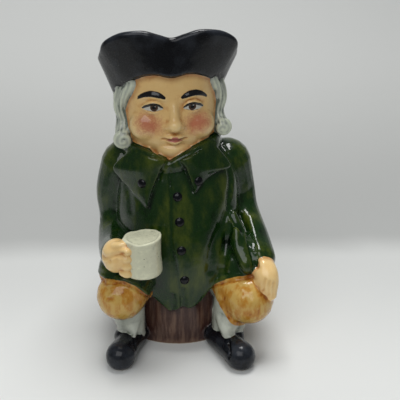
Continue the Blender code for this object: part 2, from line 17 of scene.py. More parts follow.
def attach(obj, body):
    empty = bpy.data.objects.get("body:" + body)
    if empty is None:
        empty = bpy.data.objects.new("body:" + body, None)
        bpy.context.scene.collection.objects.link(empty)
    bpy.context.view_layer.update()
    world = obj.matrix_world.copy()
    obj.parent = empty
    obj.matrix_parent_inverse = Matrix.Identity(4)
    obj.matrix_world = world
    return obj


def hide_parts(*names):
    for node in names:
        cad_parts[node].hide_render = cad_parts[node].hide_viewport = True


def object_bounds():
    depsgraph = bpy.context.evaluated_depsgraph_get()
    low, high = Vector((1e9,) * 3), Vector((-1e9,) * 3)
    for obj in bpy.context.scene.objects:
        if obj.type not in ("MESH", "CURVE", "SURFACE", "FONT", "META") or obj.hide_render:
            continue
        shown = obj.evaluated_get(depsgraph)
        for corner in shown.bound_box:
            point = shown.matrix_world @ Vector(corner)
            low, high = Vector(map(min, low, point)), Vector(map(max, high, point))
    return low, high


bl_info = {
    "name": "Toby Jug",
    "version": (1, 0, 0),
    "blender": (4, 5, 0),
    "location": "3D View > Sidebar > Toby Jug",
    "description": "Models and glazes a toby jug over its packed frame",
    "category": "Object",
}

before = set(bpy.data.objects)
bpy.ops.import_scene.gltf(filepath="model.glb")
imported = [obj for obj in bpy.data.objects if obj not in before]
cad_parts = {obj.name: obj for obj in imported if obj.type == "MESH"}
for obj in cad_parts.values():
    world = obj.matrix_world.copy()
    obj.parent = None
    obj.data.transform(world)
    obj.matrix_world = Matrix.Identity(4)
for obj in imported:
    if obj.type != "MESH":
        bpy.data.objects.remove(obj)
CAD_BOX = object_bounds()
JUG_NODE = "toby_jug"

# The figure is drawn on a grid of this many units to its height. Every number of a form below is in
# those units, which are millimetres at the default height.
GRID = 168.0
JUG_HEIGHT = round(CAD_BOX[1].z - CAD_BOX[0].z, 3)
# A place in front of everything, as a y, from which the front is looked at, and one nearer to the surface,
# where the points of a line wait until they are laid on it.
IN_FRONT, NEAR_FRONT = -120, -60.0
# What stands for "far away" in the distances to a glaze's forms and to a line.
FAR_FROM_GLAZE, FAR_FROM_LINE = 12.0, 9.0
# How finely the main forms and the hollow are worked, and how often the hollow is sponged smooth.
FORM_GRAIN, HOLLOW_GRAIN, HOLLOW_ROUNDS = 0.8, 1.0, 3
# How often a copy is sponged to tell recesses from ridges.
RECESS_ROUNDS = 30
# Points lower than this belong to the flat underside.
UNDERSIDE = 0.15
# How far a carved line reaches, as a share of its half width, and how deep a button sits, of its lift.
LINE_REACH, BUTTON_SINK = 2.5, 0.15
# How often a leaf of the collar is bridged over dents, and how thick it is below its outside.
LEAF_ROUNDS, LEAF_SINK = 60, 1.8
# Where the worn stroke along the hat's rim lies, as the radius of that rim.
RIM_RADIUS = 2.2


def length(name, description, default, low, high):
    return FloatProperty(
        name=name, description=description, default=default, min=low, max=high, unit="LENGTH", precision=4)


class JugSizes(bpy.types.PropertyGroup):
    """Sizes of the jug and its clay."""

    height: length("Height", "From the underside to the highest point of the hat", JUG_HEIGHT, 0.08, 0.4)
    grain: FloatProperty(
        name="Clay grain", description="How finely the clay is worked, as a share of the grid's unit",
        default=0.46, min=0.3, max=2.0)
    rounds: IntProperty(
        name="Smoothing rounds", description="How often the wet clay is sponged smooth",
        default=4, min=0, max=12)
    faces: IntProperty(
        name="Triangles", description="How many triangles the finished jug keeps",
        default=190000, min=20000, max=198000)
    lip: length("Lip radius", "Radius of the rounded rim of the hat", 0.0022, 0.001, 0.004)
    wall: length("Wall", "Thickness of the wall in front of the hollow", 0.0040, 0.002, 0.008)
    floor: length("Floor", "Thickness of the clay under the hollow", 0.0060, 0.002, 0.012)
    button_radius: length("Button radius", "Radius of a coat button", 0.0024, 0.001, 0.005)
    button_lift: length("Button lift", "How far a coat button stands out", 0.0013, 0.0004, 0.004)


def glaze_colour(name, description, default):
    return FloatVectorProperty(
        name=name, description=description, subtype="COLOR", size=3, min=0.0, max=1.0, default=default)


class JugGlazes(bpy.types.PropertyGroup):
    """Colours of the glazes where they lie at their usual thickness."""

    black: glaze_colour("Black", "Hat, shoes and buttons", (0.0045, 0.0050, 0.0068))
    hair: glaze_colour("Hair", "Off-white of the hair", (0.47, 0.50, 0.42))
    flesh: glaze_colour("Flesh", "Face and hands", (0.86, 0.57, 0.235))
    green: glaze_colour("Green", "Coat and handle", (0.0065, 0.028, 0.0035))
    mug: glaze_colour("Mug", "The mug in his hand", (0.70, 0.70, 0.51))
    ochre: glaze_colour("Ochre", "Breeches", (0.50, 0.225, 0.030))
    stocking: glaze_colour("Stocking", "Stockings", (0.47, 0.49, 0.42))
    brown: glaze_colour("Brown", "Barrel seat", (0.050, 0.020, 0.015))
    inside: glaze_colour("Inside", "The hollow inside", (0.62, 0.61, 0.53))


class JugStudio(bpy.types.PropertyGroup):
    """The stage that the jug is photographed on."""

    floor: glaze_colour("Floor", "The pale sheet that the jug stands on", (0.74, 0.75, 0.73))
    key: FloatProperty(
        name="Key light", description="Power of the large light overhead", default=7.6, min=0.0, unit="POWER")
    fill: FloatProperty(
        name="Fill light", description="Power of the soft light in front", default=9.5, min=0.0, unit="POWER")
    sky: FloatProperty(
        name="Room light", description="Strength of the light from all sides", default=0.13, min=0.0)


def unit():
    """One unit of the figure's grid, in metres."""
    return bpy.context.scene.toby_sizes.height / GRID


# Smooth curves through a few chosen values.

def smooth_between(before, start, end, after, share):
    """One value on a smooth curve that passes through start and end."""
    square, cube = share * share, share ** 3
    return 0.5 * (
        2 * start
        + (end - before) * share
        + (2 * before - 5 * start + 4 * end - after) * square
        + (3 * start - before - 3 * end + after) * cube
    )


def along(table, position):
    """The value at a position, from a table of (position, value) in rising order."""
    last = len(table) - 1
    if position <= table[0][0]:
        return table[0][1]
    if position >= table[last][0]:
        return table[last][1]
    index = max(i for i in range(last) if table[i][0] <= position)
    (p0, start), (p1, end) = table[index], table[index + 1]
    before = table[max(index - 1, 0)][1]
    after = table[min(index + 2, last)][1]
    return smooth_between(before, start, end, after, (position - p0) / (p1 - p0))


def around(table, angle):
    """The value at an angle in degrees, from a table for 0 to 180 that both sides share."""
    folded = abs((angle + 180.0) % 360.0 - 180.0)
    mirrored = [(-table[1][0], table[1][1])] + table + [(360.0 - table[-2][0], table[-2][1])]
    return along(mirrored, folded)


def route_of(points, steps):
    """Points of a smooth line through the chosen ones."""
    ends = [np.array(p, float) for p in (points[0], *points, points[-1])]
    found = []
    for i in range(1, len(ends) - 2):
        for step in range(steps):
            found.append(smooth_between(*ends[i - 1:i + 3], step / steps))
    return np.array(found + [ends[-2]])


def unit_vectors(vectors):
    return vectors / np.maximum(np.linalg.norm(vectors, axis=-1, keepdims=True), 1e-9)


# Ways to make a closed form. A form is (glaze, points, faces), in units of the grid.

def loft(glaze, rings, closed=False):
    """A skin over rings of equal count. Open ends get a cap, or the last ring joins the first."""
    rings = np.array([np.array(ring, float) for ring in rings])
    rows, sides = rings.shape[:2]
    places = np.arange(rows * sides).reshape(rows, sides)
    low = places if closed else places[:-1]
    high = np.roll(places, -1, axis=0) if closed else places[1:]
    faces = np.stack([low, np.roll(low, -1, axis=1), np.roll(high, -1, axis=1), high], axis=-1)
    faces = faces.reshape(-1, 4).tolist()
    points = rings.reshape(-1, 3)
    if not closed:
        points = np.vstack([points, rings[0].mean(axis=0), rings[-1].mean(axis=0)])
        first, last = rows * sides, rows * sides + 1
        for i in range(sides):
            j = (i + 1) % sides
            faces.append([int(places[0, j]), int(places[0, i]), first])
            faces.append([int(places[-1, i]), int(places[-1, j]), last])
    return glaze, points, faces


def blob(glaze, centre, radii, turn=(0, 0, 0)):
    """An egg shape, turned by degrees about X, Y and Z."""
    tilt = np.radians(np.linspace(-84, 84, 15))[:, None]
    swing = np.linspace(0, 2 * math.pi, 28, endpoint=False)[None, :]
    flat = np.cos(tilt)
    ball = np.stack([flat * np.cos(swing), flat * np.sin(swing), np.sin(tilt) + 0 * swing], -1)
    spin = np.array(Euler([math.radians(a) for a in turn], "XYZ").to_matrix())
    return loft(glaze, (ball * np.array(radii)) @ spin.T + np.array(centre))


def limb(glaze, points, radii, side=None, flat=1.0, sides=20, steps=6):
    """A tapering limb with round ends along a smooth line. flat is its depth over its width, which
    lies along side. Without a side the limb is round."""
    route = route_of(points, steps)
    widths = np.array([along(list(enumerate(radii)), i / steps) for i in range(len(route))])
    ahead = np.vstack([route[1:], route[-1:]])
    behind = np.vstack([route[:1], route[:-1]])
    forward = unit_vectors(ahead - behind)
    caps = np.radians([80, 60, 40, 20])
    reach = min(1.0, flat)
    centres = [route[0] - forward[0] * widths[0] * math.sin(a) * reach for a in caps] + list(route)
    centres += [route[-1] + forward[-1] * widths[-1] * math.sin(a) * reach for a in caps[::-1]]
    scales = [widths[0] * math.cos(a) for a in caps] + list(widths)
    scales += [widths[-1] * math.cos(a) for a in caps[::-1]]
    heads = [forward[0]] * 4 + list(forward) + [forward[-1]] * 4
    turns = 2 * math.pi * np.arange(sides) / sides
    rings = []
    across = np.roll(np.eye(3)[np.argmax(np.abs(heads[0]))], 1) if side is None else np.array(side, float)
    for centre, scale, head in zip(centres, scales, heads):
        across = unit_vectors(across - head * np.dot(head, across))
        over = np.cross(head, across)
        ring = np.outer(np.cos(turns), across) + np.outer(np.sin(turns), over) * flat
        rings.append(centre + ring * scale)
    return loft(glaze, rings)


def angles(count=96):
    return [360.0 * i / count for i in range(count)]


# The hat: a brim turned up on three sides, so low corners stand between high flaps. 0 degrees is the front.

HAT_X = -4.6
HAT_FOOT_RADIUS = [(0, 29.5), (35, 28.7), (65, 27.4), (90, 27.0), (135, 28.4), (180, 29.6)]
HAT_FOOT_HEIGHT = [(0, 145.6), (17, 146.9), (35, 144.6), (60, 138.5), (90, 128.5), (135, 122.0), (180, 119.0)]
HAT_RIM_RADIUS = [(0, 30.5), (22, 33.3), (40, 38.2), (54, 41.4), (66, 38.6), (80, 36.6), (100, 35.2),
                  (130, 34.0), (158, 38.0), (180, 41.0)]
HAT_RIM_HEIGHT = [(0, 164.3), (12, 166.0), (26, 168.0), (42, 167.0), (54, 163.0), (66, 157.5), (80, 152.5),
                  (100, 151.0), (125, 154.0), (158, 152.5), (180, 149.0)]


def hat_point(angle, share):
    """Radius and height of the hat's side at a share of the way from its foot to its rim."""
    foot, rim = around(HAT_FOOT_RADIUS, angle), around(HAT_RIM_RADIUS, angle)
    low, high = around(HAT_FOOT_HEIGHT, angle), around(HAT_RIM_HEIGHT, angle)
    return foot + (rim - foot) * share, low + (high - low) * share


def hat_place(angle, radius, height):
    turn = math.radians(angle)
    return HAT_X + radius * math.sin(turn), -radius * math.cos(turn), height


def hat_ring(share, inset=0.0):
    ring = []
    for angle in angles():
        radius, height = hat_point(angle, share)
        ring.append(hat_place(angle, radius - inset, height))
    return ring


def lip_centre(angle, lip):
    """Radius and height of the middle of the rounded rim, which lies in line with the hat's side."""
    foot, low = hat_point(angle, 0.0)
    rim, high = hat_point(angle, 1.0)
    lean = math.atan2(rim - foot, high - low)
    return rim - lip * (1 + math.sin(lean)) / math.cos(lean), high - lip, lean


def hat_top_ring(lip, inset=0.0):
    """Where the hat's side meets the rounded rim."""
    ring = []
    for angle in angles():
        radius, height, lean = lip_centre(angle, lip)
        ring.append(hat_place(angle, radius + (lip - inset) * math.cos(lean), height - lip * math.sin(lean)))
    return ring


def make_hat(lip):
    rings = [hat_ring(-0.02, 1.4)] + [hat_ring(i / 8) for i in range(7)] + [hat_top_ring(lip)]
    rings += [hat_top_ring(lip, 0.5 * lip)]
    return [loft("black", rings)]


def make_lip(lip):
    """The rounded rim all round the hat's mouth."""
    rings = []
    for angle in angles(128):
        radius, height, _ = lip_centre(angle, lip)
        ring = []
        for i in range(16):
            turn = 2 * math.pi * i / 16
            ring.append(hat_place(angle, radius + lip * math.cos(turn), height + lip * math.sin(turn)))
        rings.append(ring)
    return [loft("black", rings, closed=True)]


# Upright shapes with an oval plan: where the axis stands, the half width, and the depth to the front
# and to the back, at each height. A higher roundness is squarer.

COAT = {
    "x": 0.0,
    "roundness": 2.25,
    "width": [(18, 38.6), (30, 38.8), (45, 37.4), (60, 34.5), (75, 33.5), (88, 32.0), (96, 28.0), (103, 21.0),
              (108, 17.0)],
    "front": [(18, 39.5), (30, 41.0), (45, 41.5), (58, 40.5), (72, 37.5), (85, 34.0), (95, 30.5), (103, 26.0),
              (108, 22.0)],
    "back": [(18, 38.8), (30, 38.8), (45, 36.8), (60, 34.4), (75, 32.4), (88, 30.0), (96, 27.6), (103, 24.0),
             (108, 21.0)],
}
HEAD = {
    "x": -3.8,
    "roundness": 2.25,
    "width": [(101, 12.0), (104, 17.5), (108, 21.6), (113, 24.0), (119, 24.9), (127, 24.8), (135, 24.4),
              (143, 24.0), (147, 24.0)],
    "front": [(101, 18.0), (104, 23.0), (108, 25.4), (113, 26.3), (119, 26.4), (127, 26.0), (135, 26.3),
              (143, 26.8), (147, 26.8)],
    "back": [(101, 20.0), (110, 24.0), (120, 26.0), (147, 26.0)],
}
HAIR = {
    "x": -3.8,
    "roundness": 2.5,
    "width": [(97, 24.0), (103, 27.6), (112, 26.2), (122, 26.9), (134, 26.4), (142, 25.6)],
    "front": [(97, 6.0), (103, 10.0), (142, 10.0)],
    "back": [(97, 26.0), (103, 29.0), (112, 27.8), (122, 28.6), (134, 28.0), (142, 27.0)],
}
# The hem's height at each angle: two points in front, high over the thighs, and low tails behind.
HEM = [(-180, 17.0), (-150, 18.0), (-120, 27.0), (-95, 38.0), (-75, 44.0), (-55, 44.0), (-42, 42.0),
       (-33, 37.0), (-24, 31.0), (-16, 25.5), (-10, 21.5), (-5, 24.6), (0, 24.2), (5, 24.0), (10, 27.0),
       (15, 31.0),
       (21, 36.5), (28, 42.0), (40, 44.0), (75, 44.0), (95, 38.0), (120, 27.0), (150, 18.0), (180, 17.0)]


def signed(angle):
    return (angle + 180.0) % 360.0 - 180.0


def plan_radius(shape, angle, height, inset=0.0):
    """Distance from the axis to the shape's side at an angle in degrees and a height."""
    width = along(shape["width"], height) - inset
    depth = along(shape["front" if abs(signed(angle)) < 90 else "back"], height) - inset
    sine, cosine = math.sin(math.radians(angle)), math.cos(math.radians(angle))
    power = shape["roundness"]
    return (abs(sine / width) ** power + abs(cosine / depth) ** power) ** (-1.0 / power)


def plan_ring(shape, height_of, inset=0.0):
    ring = []
    for angle in angles():
        height = height_of(angle)
        radius = plan_radius(shape, angle, height, inset)
        turn = math.radians(angle)
        ring.append((shape["x"] + radius * math.sin(turn), -radius * math.cos(turn), height))
    return ring


def seen_from_front(tree, x, height):
    """Depth of the surface in front at a place, as a y."""
    place = tree.ray_cast(Vector((x, IN_FRONT, height)) * unit(), Vector((0, 1, 0)))[0]
    return 0.0 if place is None else place.y / unit()


def leaf(tree, inner, outer, lift):
    """A leaf of the folded collar, domed, laid on the coat between two edges given as (x, z). It stands out
    along its inner edge and runs into the coat at its outer one."""
    across, down = 14, 22
    inner = route_of([(x, 0, z) for x, z in inner], 6)
    outer = route_of([(x, 0, z) for x, z in outer], 6)

    def on_edge(edge, share):
        return along(list(enumerate(edge)), share * (len(edge) - 1))

    grid = np.array([[on_edge(inner, i / down) * (1 - j / across) + on_edge(outer, i / down) * (j / across)
                      for j in range(across + 1)] for i in range(down + 1)])
    for place in grid.reshape(-1, 3):
        place[1] = seen_from_front(tree, place[0], place[2])
    # Cloth bridges the dents under it.
    depth = grid[..., 1]
    for _ in range(LEAF_ROUNDS):
        depth[1:-1] = np.minimum(depth[1:-1], (depth[:-2] + depth[2:]) / 2)
        depth[:, 1:-1] = np.minimum(depth[:, 1:-1], (depth[:, :-2] + depth[:, 2:]) / 2)
    rise = lift * np.interp(np.linspace(0, 1, across + 1), [0, 0.25, 0.6, 1], [0.55, 1.0, 0.7, 0.0])
    above, below = grid.copy(), grid.copy()
    above[..., 1] -= rise
    below[..., 1] += LEAF_SINK
    return loft("green", np.concatenate([above, below[:, ::-1]], axis=1))


def make_leaves(tree):
    return [
        leaf(tree, [(-8.0, 103.6), (-11.0, 99.0), (-13.6, 92.5), (-16.2, 86.4), (-18.3, 79.6)],
             [(-24, 107.0), (-34.0, 97.0), (-31.0, 90.6), (-25.5, 85.2), (-18.9, 79.4)], 1.5),
        leaf(tree, [(-2.0, 103.2), (1.5, 99.6), (3.3, 95.0), (4.7, 90.6), (5.9, 87.4)],
             [(16, 110.0), (25.5, 97.0), (17.0, 95.0), (10.3, 91.2), (6.3, 87.2)], 1.5),
    ]


def make_coat():
    top = COAT["width"][-1][0]

    def hem(angle):
        return along(HEM, signed(angle))

    rings = [plan_ring(COAT, hem, 1.2)]
    for step in range(15):
        rings.append(plan_ring(COAT, lambda a, s=step / 14: 0.6 + hem(a) + (top - 0.6 - hem(a)) * s))
    return [
        loft("green", rings),
        # Skirts of the coat that lie over the thighs.
        limb("green", [(-12, -6, 52), (-25, -24, 50), (-32.6, -31, 45)], [14, 13, 11.8]),
        limb("green", [(-14, -16, 46), (-24, -30, 44), (-28.6, -38.5, 39.8)], [14, 13, 11.6]),
        limb("green", [(12, -6, 52), (24, -24, 48), (32, -33, 42)], [14, 14, 13]),
        # Arms, from shoulder to cuff.
        limb("green", [(-27, 2, 91), (-31.8, 3, 76), (-32.2, 0, 63), (-33.2, -9, 55), (-34.3, -24, 54),
                       (-35, -38, 57.5)], [13.5, 11.8, 10.2, 10.3, 9.4, 8.0]),
        limb("green", [(27, 1, 90), (31, 0, 76), (33, -5, 64), (37.3, -22, 54), (39.2, -36, 49.5)],
             [13.5, 11.6, 11.0, 9.8, 8.6]),
        limb("green", [(25, -27, 70), (28, -33, 60), (33, -41, 50)], [4.0, 5.5, 6.0]),
        # The collar stands round the neck.
        limb("green", [(-6.3, -28.2, 98.8), (-12, -27.8, 101.6), (-18, -24.8, 103.8), (-25, -14.5, 104.2),
                       (-23, 4, 105.4), (-4, 23, 107)],
             [3.0, 3.8, 4.2, 4.4, 4.4, 4.4], side=(0, 0, 1), flat=0.62),
        limb("green", [(-6.3, -28.2, 98.8), (0, -28.4, 101.6), (8, -26.0, 104.9), (17.5, -17.5, 107.2),
                       (18.5, 4, 107.6), (-4, 23, 107)],
             [3.0, 3.8, 4.2, 4.4, 4.4, 4.4], side=(0, 0, 1), flat=0.62),
    ]


BUTTONS = [(-3.0, 85.2), (-2.4, 72.8), (-1.9, 58.2), (-0.5, 41.9), (-20.5, 91.3), (8.0, 92.4)]


def make_head():
    x = HEAD["x"]
    heights = [101 + 46 * i / 23 for i in range(24)]
    forms = [
        loft("flesh", [plan_ring(HEAD, lambda _, z=z: z) for z in heights]),
        blob("flesh", (x + 0.4, -20.8, 107.0), (10.0, 6.6, 6.2)),
        blob("flesh", (x + 0.2, -19.6, 103.0), (13.0, 6.8, 5.6)),
        blob("flesh", (x + 0.4, -28.0, 120.6), (3.7, 4.2, 3.3)),
        limb("flesh", [(x + 0.2, -24.6, 132.0), (x + 0.4, -27.6, 122.5)], [2.0, 2.7]),
    ]
    for side in (-1, 1):
        forms += [
            blob("flesh", (x + 12.2 * side, -17.6, 118.6), (9.4, 8.2, 8.6)),
            blob("flesh", (x + 0.4 + 3.1 * side, -26.6, 119.6), (2.0, 2.6, 1.9)),
            limb("flesh", [(x + 4.6 * side, -25.5, 133.8), (x + 10 * side, -24.4, 135.4),
                           (x + 15.6 * side, -20.2, 133.6)], [1.5, 1.7, 1.2]),
        ]
    return forms


def make_face_details():
    """Eyeballs, lids and lips, which are too fine for the first pressing."""
    x = HEAD["x"]
    forms = [
        limb("flesh", [(x - 5.6, -24.8, 113.9), (x - 2.0, -27.0, 114.5), (x + 0.4, -27.3, 114.2),
                       (x + 2.8, -27.0, 114.5), (x + 6.4, -24.8, 113.9)],
             [0.5, 1.15, 1.1, 1.15, 0.5], sides=14),
        limb("flesh", [(x - 4.6, -25.0, 112.9), (x + 0.4, -26.9, 111.9), (x + 5.4, -25.0, 112.9)],
             [0.5, 1.45, 0.5], sides=14),
    ]
    for side in (-1, 1):
        forms += [
            blob("flesh", (x + 9.8 * side, -23.5, 129.3), (4.8, 1.8, 2.7), (0, 0, 14 * side)),
            limb("flesh", [(x + 5.0 * side, -24.4, 129.0), (x + 7.4 * side, -25.3, 131.0),
                           (x + 10.2 * side, -25.1, 131.6), (x + 12.9 * side, -23.6, 130.7),
                           (x + 15.0 * side, -21.6, 128.9)], [0.6, 0.95, 1.0, 0.95, 0.6], sides=12),
            limb("flesh", [(x + 5.2 * side, -24.3, 128.4), (x + 8.0 * side, -24.7, 127.0),
                           (x + 11.2 * side, -24.2, 126.8), (x + 14.6 * side, -21.8, 128.2)],
                 [0.5, 0.75, 0.75, 0.5], sides=12),
        ]
    return forms


def spiral(x, y, z, radius, turns, start, sense):
    """Points of a curl that winds inwards as seen from the front."""
    points = []
    steps = int(turns * 8)
    for i in range(steps + 1):
        swing = math.radians(start) + 2 * math.pi * i / 8 * sense
        reach = radius * (1 - 0.8 * i / steps)
        points.append((x + reach * math.cos(swing), y - 1.2 * i / steps, z + reach * math.sin(swing)))
    return points


CURL_LEFT = spiral(HEAD["x"] - 24.8, -16.0, 110.4, 4.1, 1.7, 80, 1)
CURL_RIGHT = spiral(HEAD["x"] + 26.2, -16.0, 115.2, 3.7, 1.7, 100, -1)


def make_hair():
    x = HEAD["x"]
    forms = [
        loft("hair", [plan_ring(HAIR, lambda _, z=z: z) for z in range(97, 143, 3)]),
        limb("hair", [(x - 21.4, -9, 141), (x - 24.4, -9, 133), (x - 25.3, -9.4, 126),
                      (x - 23.6, -10.5, 119.5), (x - 24.2, -13, 114)], [3.4, 3.7, 3.7, 3.3, 3.8]),
        limb("hair", [(x - 22, -2, 139), (x - 24.2, -2, 130), (x - 23.6, -4, 119), (x - 24.2, -7, 112)],
             [4.6, 4.6, 4.2, 4.6]),
        limb("hair", [(x + 21.8, -9, 143), (x + 24.8, -9, 135), (x + 25.5, -9.4, 129), (x + 24.0, -11, 122.5),
                      (x + 25.2, -13, 118)], [3.4, 3.6, 3.6, 3.1, 3.5]),
        limb("hair", [(x + 22.4, -2, 141), (x + 24.6, -2, 132), (x + 24.0, -5, 122), (x + 25.0, -8, 115)],
             [4.6, 4.4, 4.2, 4.4]),
        limb("hair", [(x - 18.2, -16.8, 140.5), (x - 20.8, -15.6, 136.6), (x - 23.2, -13.6, 132.5),
                      (x - 24.8, -11, 126)], [3.0, 3.0, 2.8, 2.2]),
        limb("hair", [(x + 20.2, -16.0, 141.0), (x + 22.2, -14.6, 137.6), (x + 24.0, -13.0, 134.5),
                      (x + 25.0, -11, 128)], [2.6, 2.6, 2.4, 2.0]),
        blob("hair", (x - 24.6, -12.8, 110.0), (4.6, 3.6, 5.6)),
        blob("hair", (x + 26.0, -12.8, 115.0), (4.2, 3.6, 4.8)),
    ]
    for turn in range(-60, 61, 20):
        sine, cosine = math.sin(math.radians(turn)), math.cos(math.radians(turn))
        down = [(25.5, 124), (26.5, 115), (25.6, 107), (27.6, 100)]
        points = [(x + r * sine, r * cosine, z) for r, z in down]
        forms.append(limb("hair", points, [3.6, 4.6, 4.4, 3.2]))
    return forms


def make_curls():
    """The curled ends of the side locks, as rolled strands."""
    return [limb("hair", CURL_LEFT, [1.6] * len(CURL_LEFT), sides=12, steps=3),
            limb("hair", CURL_RIGHT, [1.5] * len(CURL_RIGHT), sides=12, steps=3)]


BARREL_RADIUS = [(-2, 34.8), (0, 35.2), (12, 36.4), (26, 36.8), (40, 36.0), (50, 34.0)]


def make_barrel():
    rings = []
    for height in (-2, 0, 4, 10, 18, 26, 34, 42, 50):
        radius = along(BARREL_RADIUS, height)
        turns = [math.radians(a) for a in angles()]
        rings.append([(radius * math.sin(t), -radius * math.cos(t), height) for t in turns])
    return [loft("brown", rings)]


def make_legs():
    return [
        limb("ochre", [(-16, -18, 40), (-26, -30, 38), (-33.1, -39.5, 34.5)], [12, 12.5, 12.8]),
        limb("ochre", [(20, -20, 38), (28, -35, 34), (32.6, -44, 30.4)], [12, 13, 13.2]),
        limb("stocking", [(-31, -36, 28), (-29, -34.5, 17), (-28, -34, 6)], [10.5, 8.0, 7.0]),
        limb("stocking", [(27, -38.5, 30), (24.5, -38, 19), (22.5, -37.5, 6)], [11.6, 9.6, 8.0]),
        limb("black", [(-25.5, -32, 5.5), (-30.5, -41, 6.0), (-35, -51.8, 6.0)], [6.0, 6.6, 7.7]),
        limb("black", [(16.5, -37, 5.0), (21.5, -48, 5.8), (26.3, -59.4, 6.0)], [6.0, 6.8, 7.7]),
        blob("black", (-30, -36.5, 8.0), (7.8, 7.8, 5.5)),
        blob("black", (23.5, -42.5, 7.0), (7.6, 8.0, 5.5)),
        # Where the stockings run down into the shoes in a point.
        limb("stocking", [(-28.6, -37.6, 19), (-28.2, -40.4, 15.4), (-27.6, -43.0, 12.2)], [6.4, 4.2, 1.2]),
        limb("stocking", [(22.5, -41, 20), (21.6, -46.2, 15.4), (21.4, -51.6, 11.2)], [7.2, 5.0, 1.8]),
    ]


MUG_PLACE = np.array((-21.8, -47.5, 51.0))
MUG_RADIUS, MUG_HEIGHT, MUG_RIM, MUG_HOLLOW = 9.6, 19.5, 1.5, 0.45


def disc_rings(centre, levels, count=48):
    """Rings about a vertical axis through centre, from (radius, height)."""
    turns = [math.radians(a) for a in angles(count)]
    return [
        [centre + np.array((radius * math.sin(t), -radius * math.cos(t), height)) for t in turns]
        for radius, height in levels
    ]


def make_mug():
    levels = [(0.93 * MUG_RADIUS, 0.0), (1.03 * MUG_RADIUS, 1.5), (MUG_RADIUS, 0.5 * MUG_HEIGHT),
              (0.97 * MUG_RADIUS, 0.88 * MUG_HEIGHT), (1.01 * MUG_RADIUS, MUG_HEIGHT)]
    return [loft("mug", askew(disc_rings(MUG_PLACE, levels)))]


def askew(rings):
    """The mug's rings, higher on one side towards the rim, as the mug was thrown by hand."""
    moved = np.array(rings)
    share = np.clip((moved[..., 2] - MUG_PLACE[2]) / MUG_HEIGHT, 0, 1.2)
    sine = (moved[..., 0] - MUG_PLACE[0]) / MUG_RADIUS
    moved[..., 2] += share * (1.9 * np.maximum(sine, 0) ** 2 + 0.3 * np.sin(5 * sine))
    moved[..., 0] -= 0.5 * np.sin(np.pi * share) * np.maximum(sine, 0)
    return moved


def make_mug_hollow():
    radius = MUG_RADIUS - MUG_RIM
    foot = MUG_PLACE + np.array((0, 0, MUG_HEIGHT - MUG_HOLLOW))
    return loft("mug", askew(disc_rings(foot, [(radius - 0.5, 0), (radius, 0.5), (radius, 4.5)])))


def make_hands():
    """The round mass of the fist, and the hand on the knee as a mitten."""
    return [
        blob("flesh", (-34.9, -46.4, 60.6), (7.4, 7.6, 8.9)),
        blob("flesh", (-31.8, -49.4, 61.6), (5.4, 6.0, 8.4)),
        limb("flesh", [(39.6, -39.5, 48.4), (40.6, -46.4, 46.0), (41.6, -49.6, 41.0), (42.9, -50.8, 36.0)],
             [6.0, 6.4, 5.6, 3.2]),
        limb("flesh", [(38.6, -45.4, 46.6), (38.2, -49.0, 43.4)], [4.8, 3.6]),
        limb("flesh", [(40.2, -47.6, 44.6), (40.2, -50.4, 40.0)], [4.8, 3.8]),
    ]


def make_fingers():
    """The thumb and the row of knuckles of the fist."""
    forms = [
        limb("flesh", [(-35.6, -49.6, 67.2), (-32.6, -51.2, 68.2), (-30.2, -51.6, 68.2)],
             [2.2, 2.0, 1.6], sides=14),
    ]
    for number in range(4):
        height = 66.0 - 4.0 * number
        points = [(-32.6, -53.0, height), (-30.4, -54.2, height), (-28.6, -53.4, height - 0.2)]
        forms.append(limb("flesh", points, [1.5, 2.1, 1.9], sides=14))
    return forms


HANDLE_X = -1.5


def make_handle():
    points = [(HANDLE_X, 24, 124), (HANDLE_X, 40, 130), (HANDLE_X, 53, 121), (HANDLE_X, 55.85, 104),
              (HANDLE_X, 52, 82), (HANDLE_X, 45, 62), (HANDLE_X, 28, 48)]
    return [limb("green", points, [6.9, 6, 6, 6, 6, 6, 6.9], side=(1, 0, 0), flat=2 / 3, sides=32, steps=10)]


# The hollow inside, from the hat's mouth down to the floor.

def hollow_ring(height, centre, width, front, back):
    ring = []
    for angle in angles():
        sine, cosine = math.sin(math.radians(angle)), math.cos(math.radians(angle))
        depth = front if cosine > 0 else back
        radius = ((sine / width) ** 2 + (cosine / depth) ** 2) ** -0.5
        ring.append((centre + radius * sine, -radius * cosine, height))
    return ring


# Where the wall follows the arms and thighs, which open off the main hollow.
LIMB_HOLLOWS = [
    ([(-24, 2, 88), (-31.4, 3, 77), (-32.0, 0, 65), (-32.4, -7, 57)], [8.5, 7.2, 6.0, 5.4]),
    ([(24, 1, 87), (30.6, 0, 77), (32.4, -4, 66), (34.8, -12, 59)], [8.5, 7.2, 6.2, 5.4]),
    ([(-12, -10, 46), (-24, -25, 43), (-31, -34.5, 38.5)], [9.5, 8.6, 7.6]),
    ([(12, -10, 46), (24, -28, 40), (31, -38, 34.5)], [9.5, 8.8, 8.2]),
]


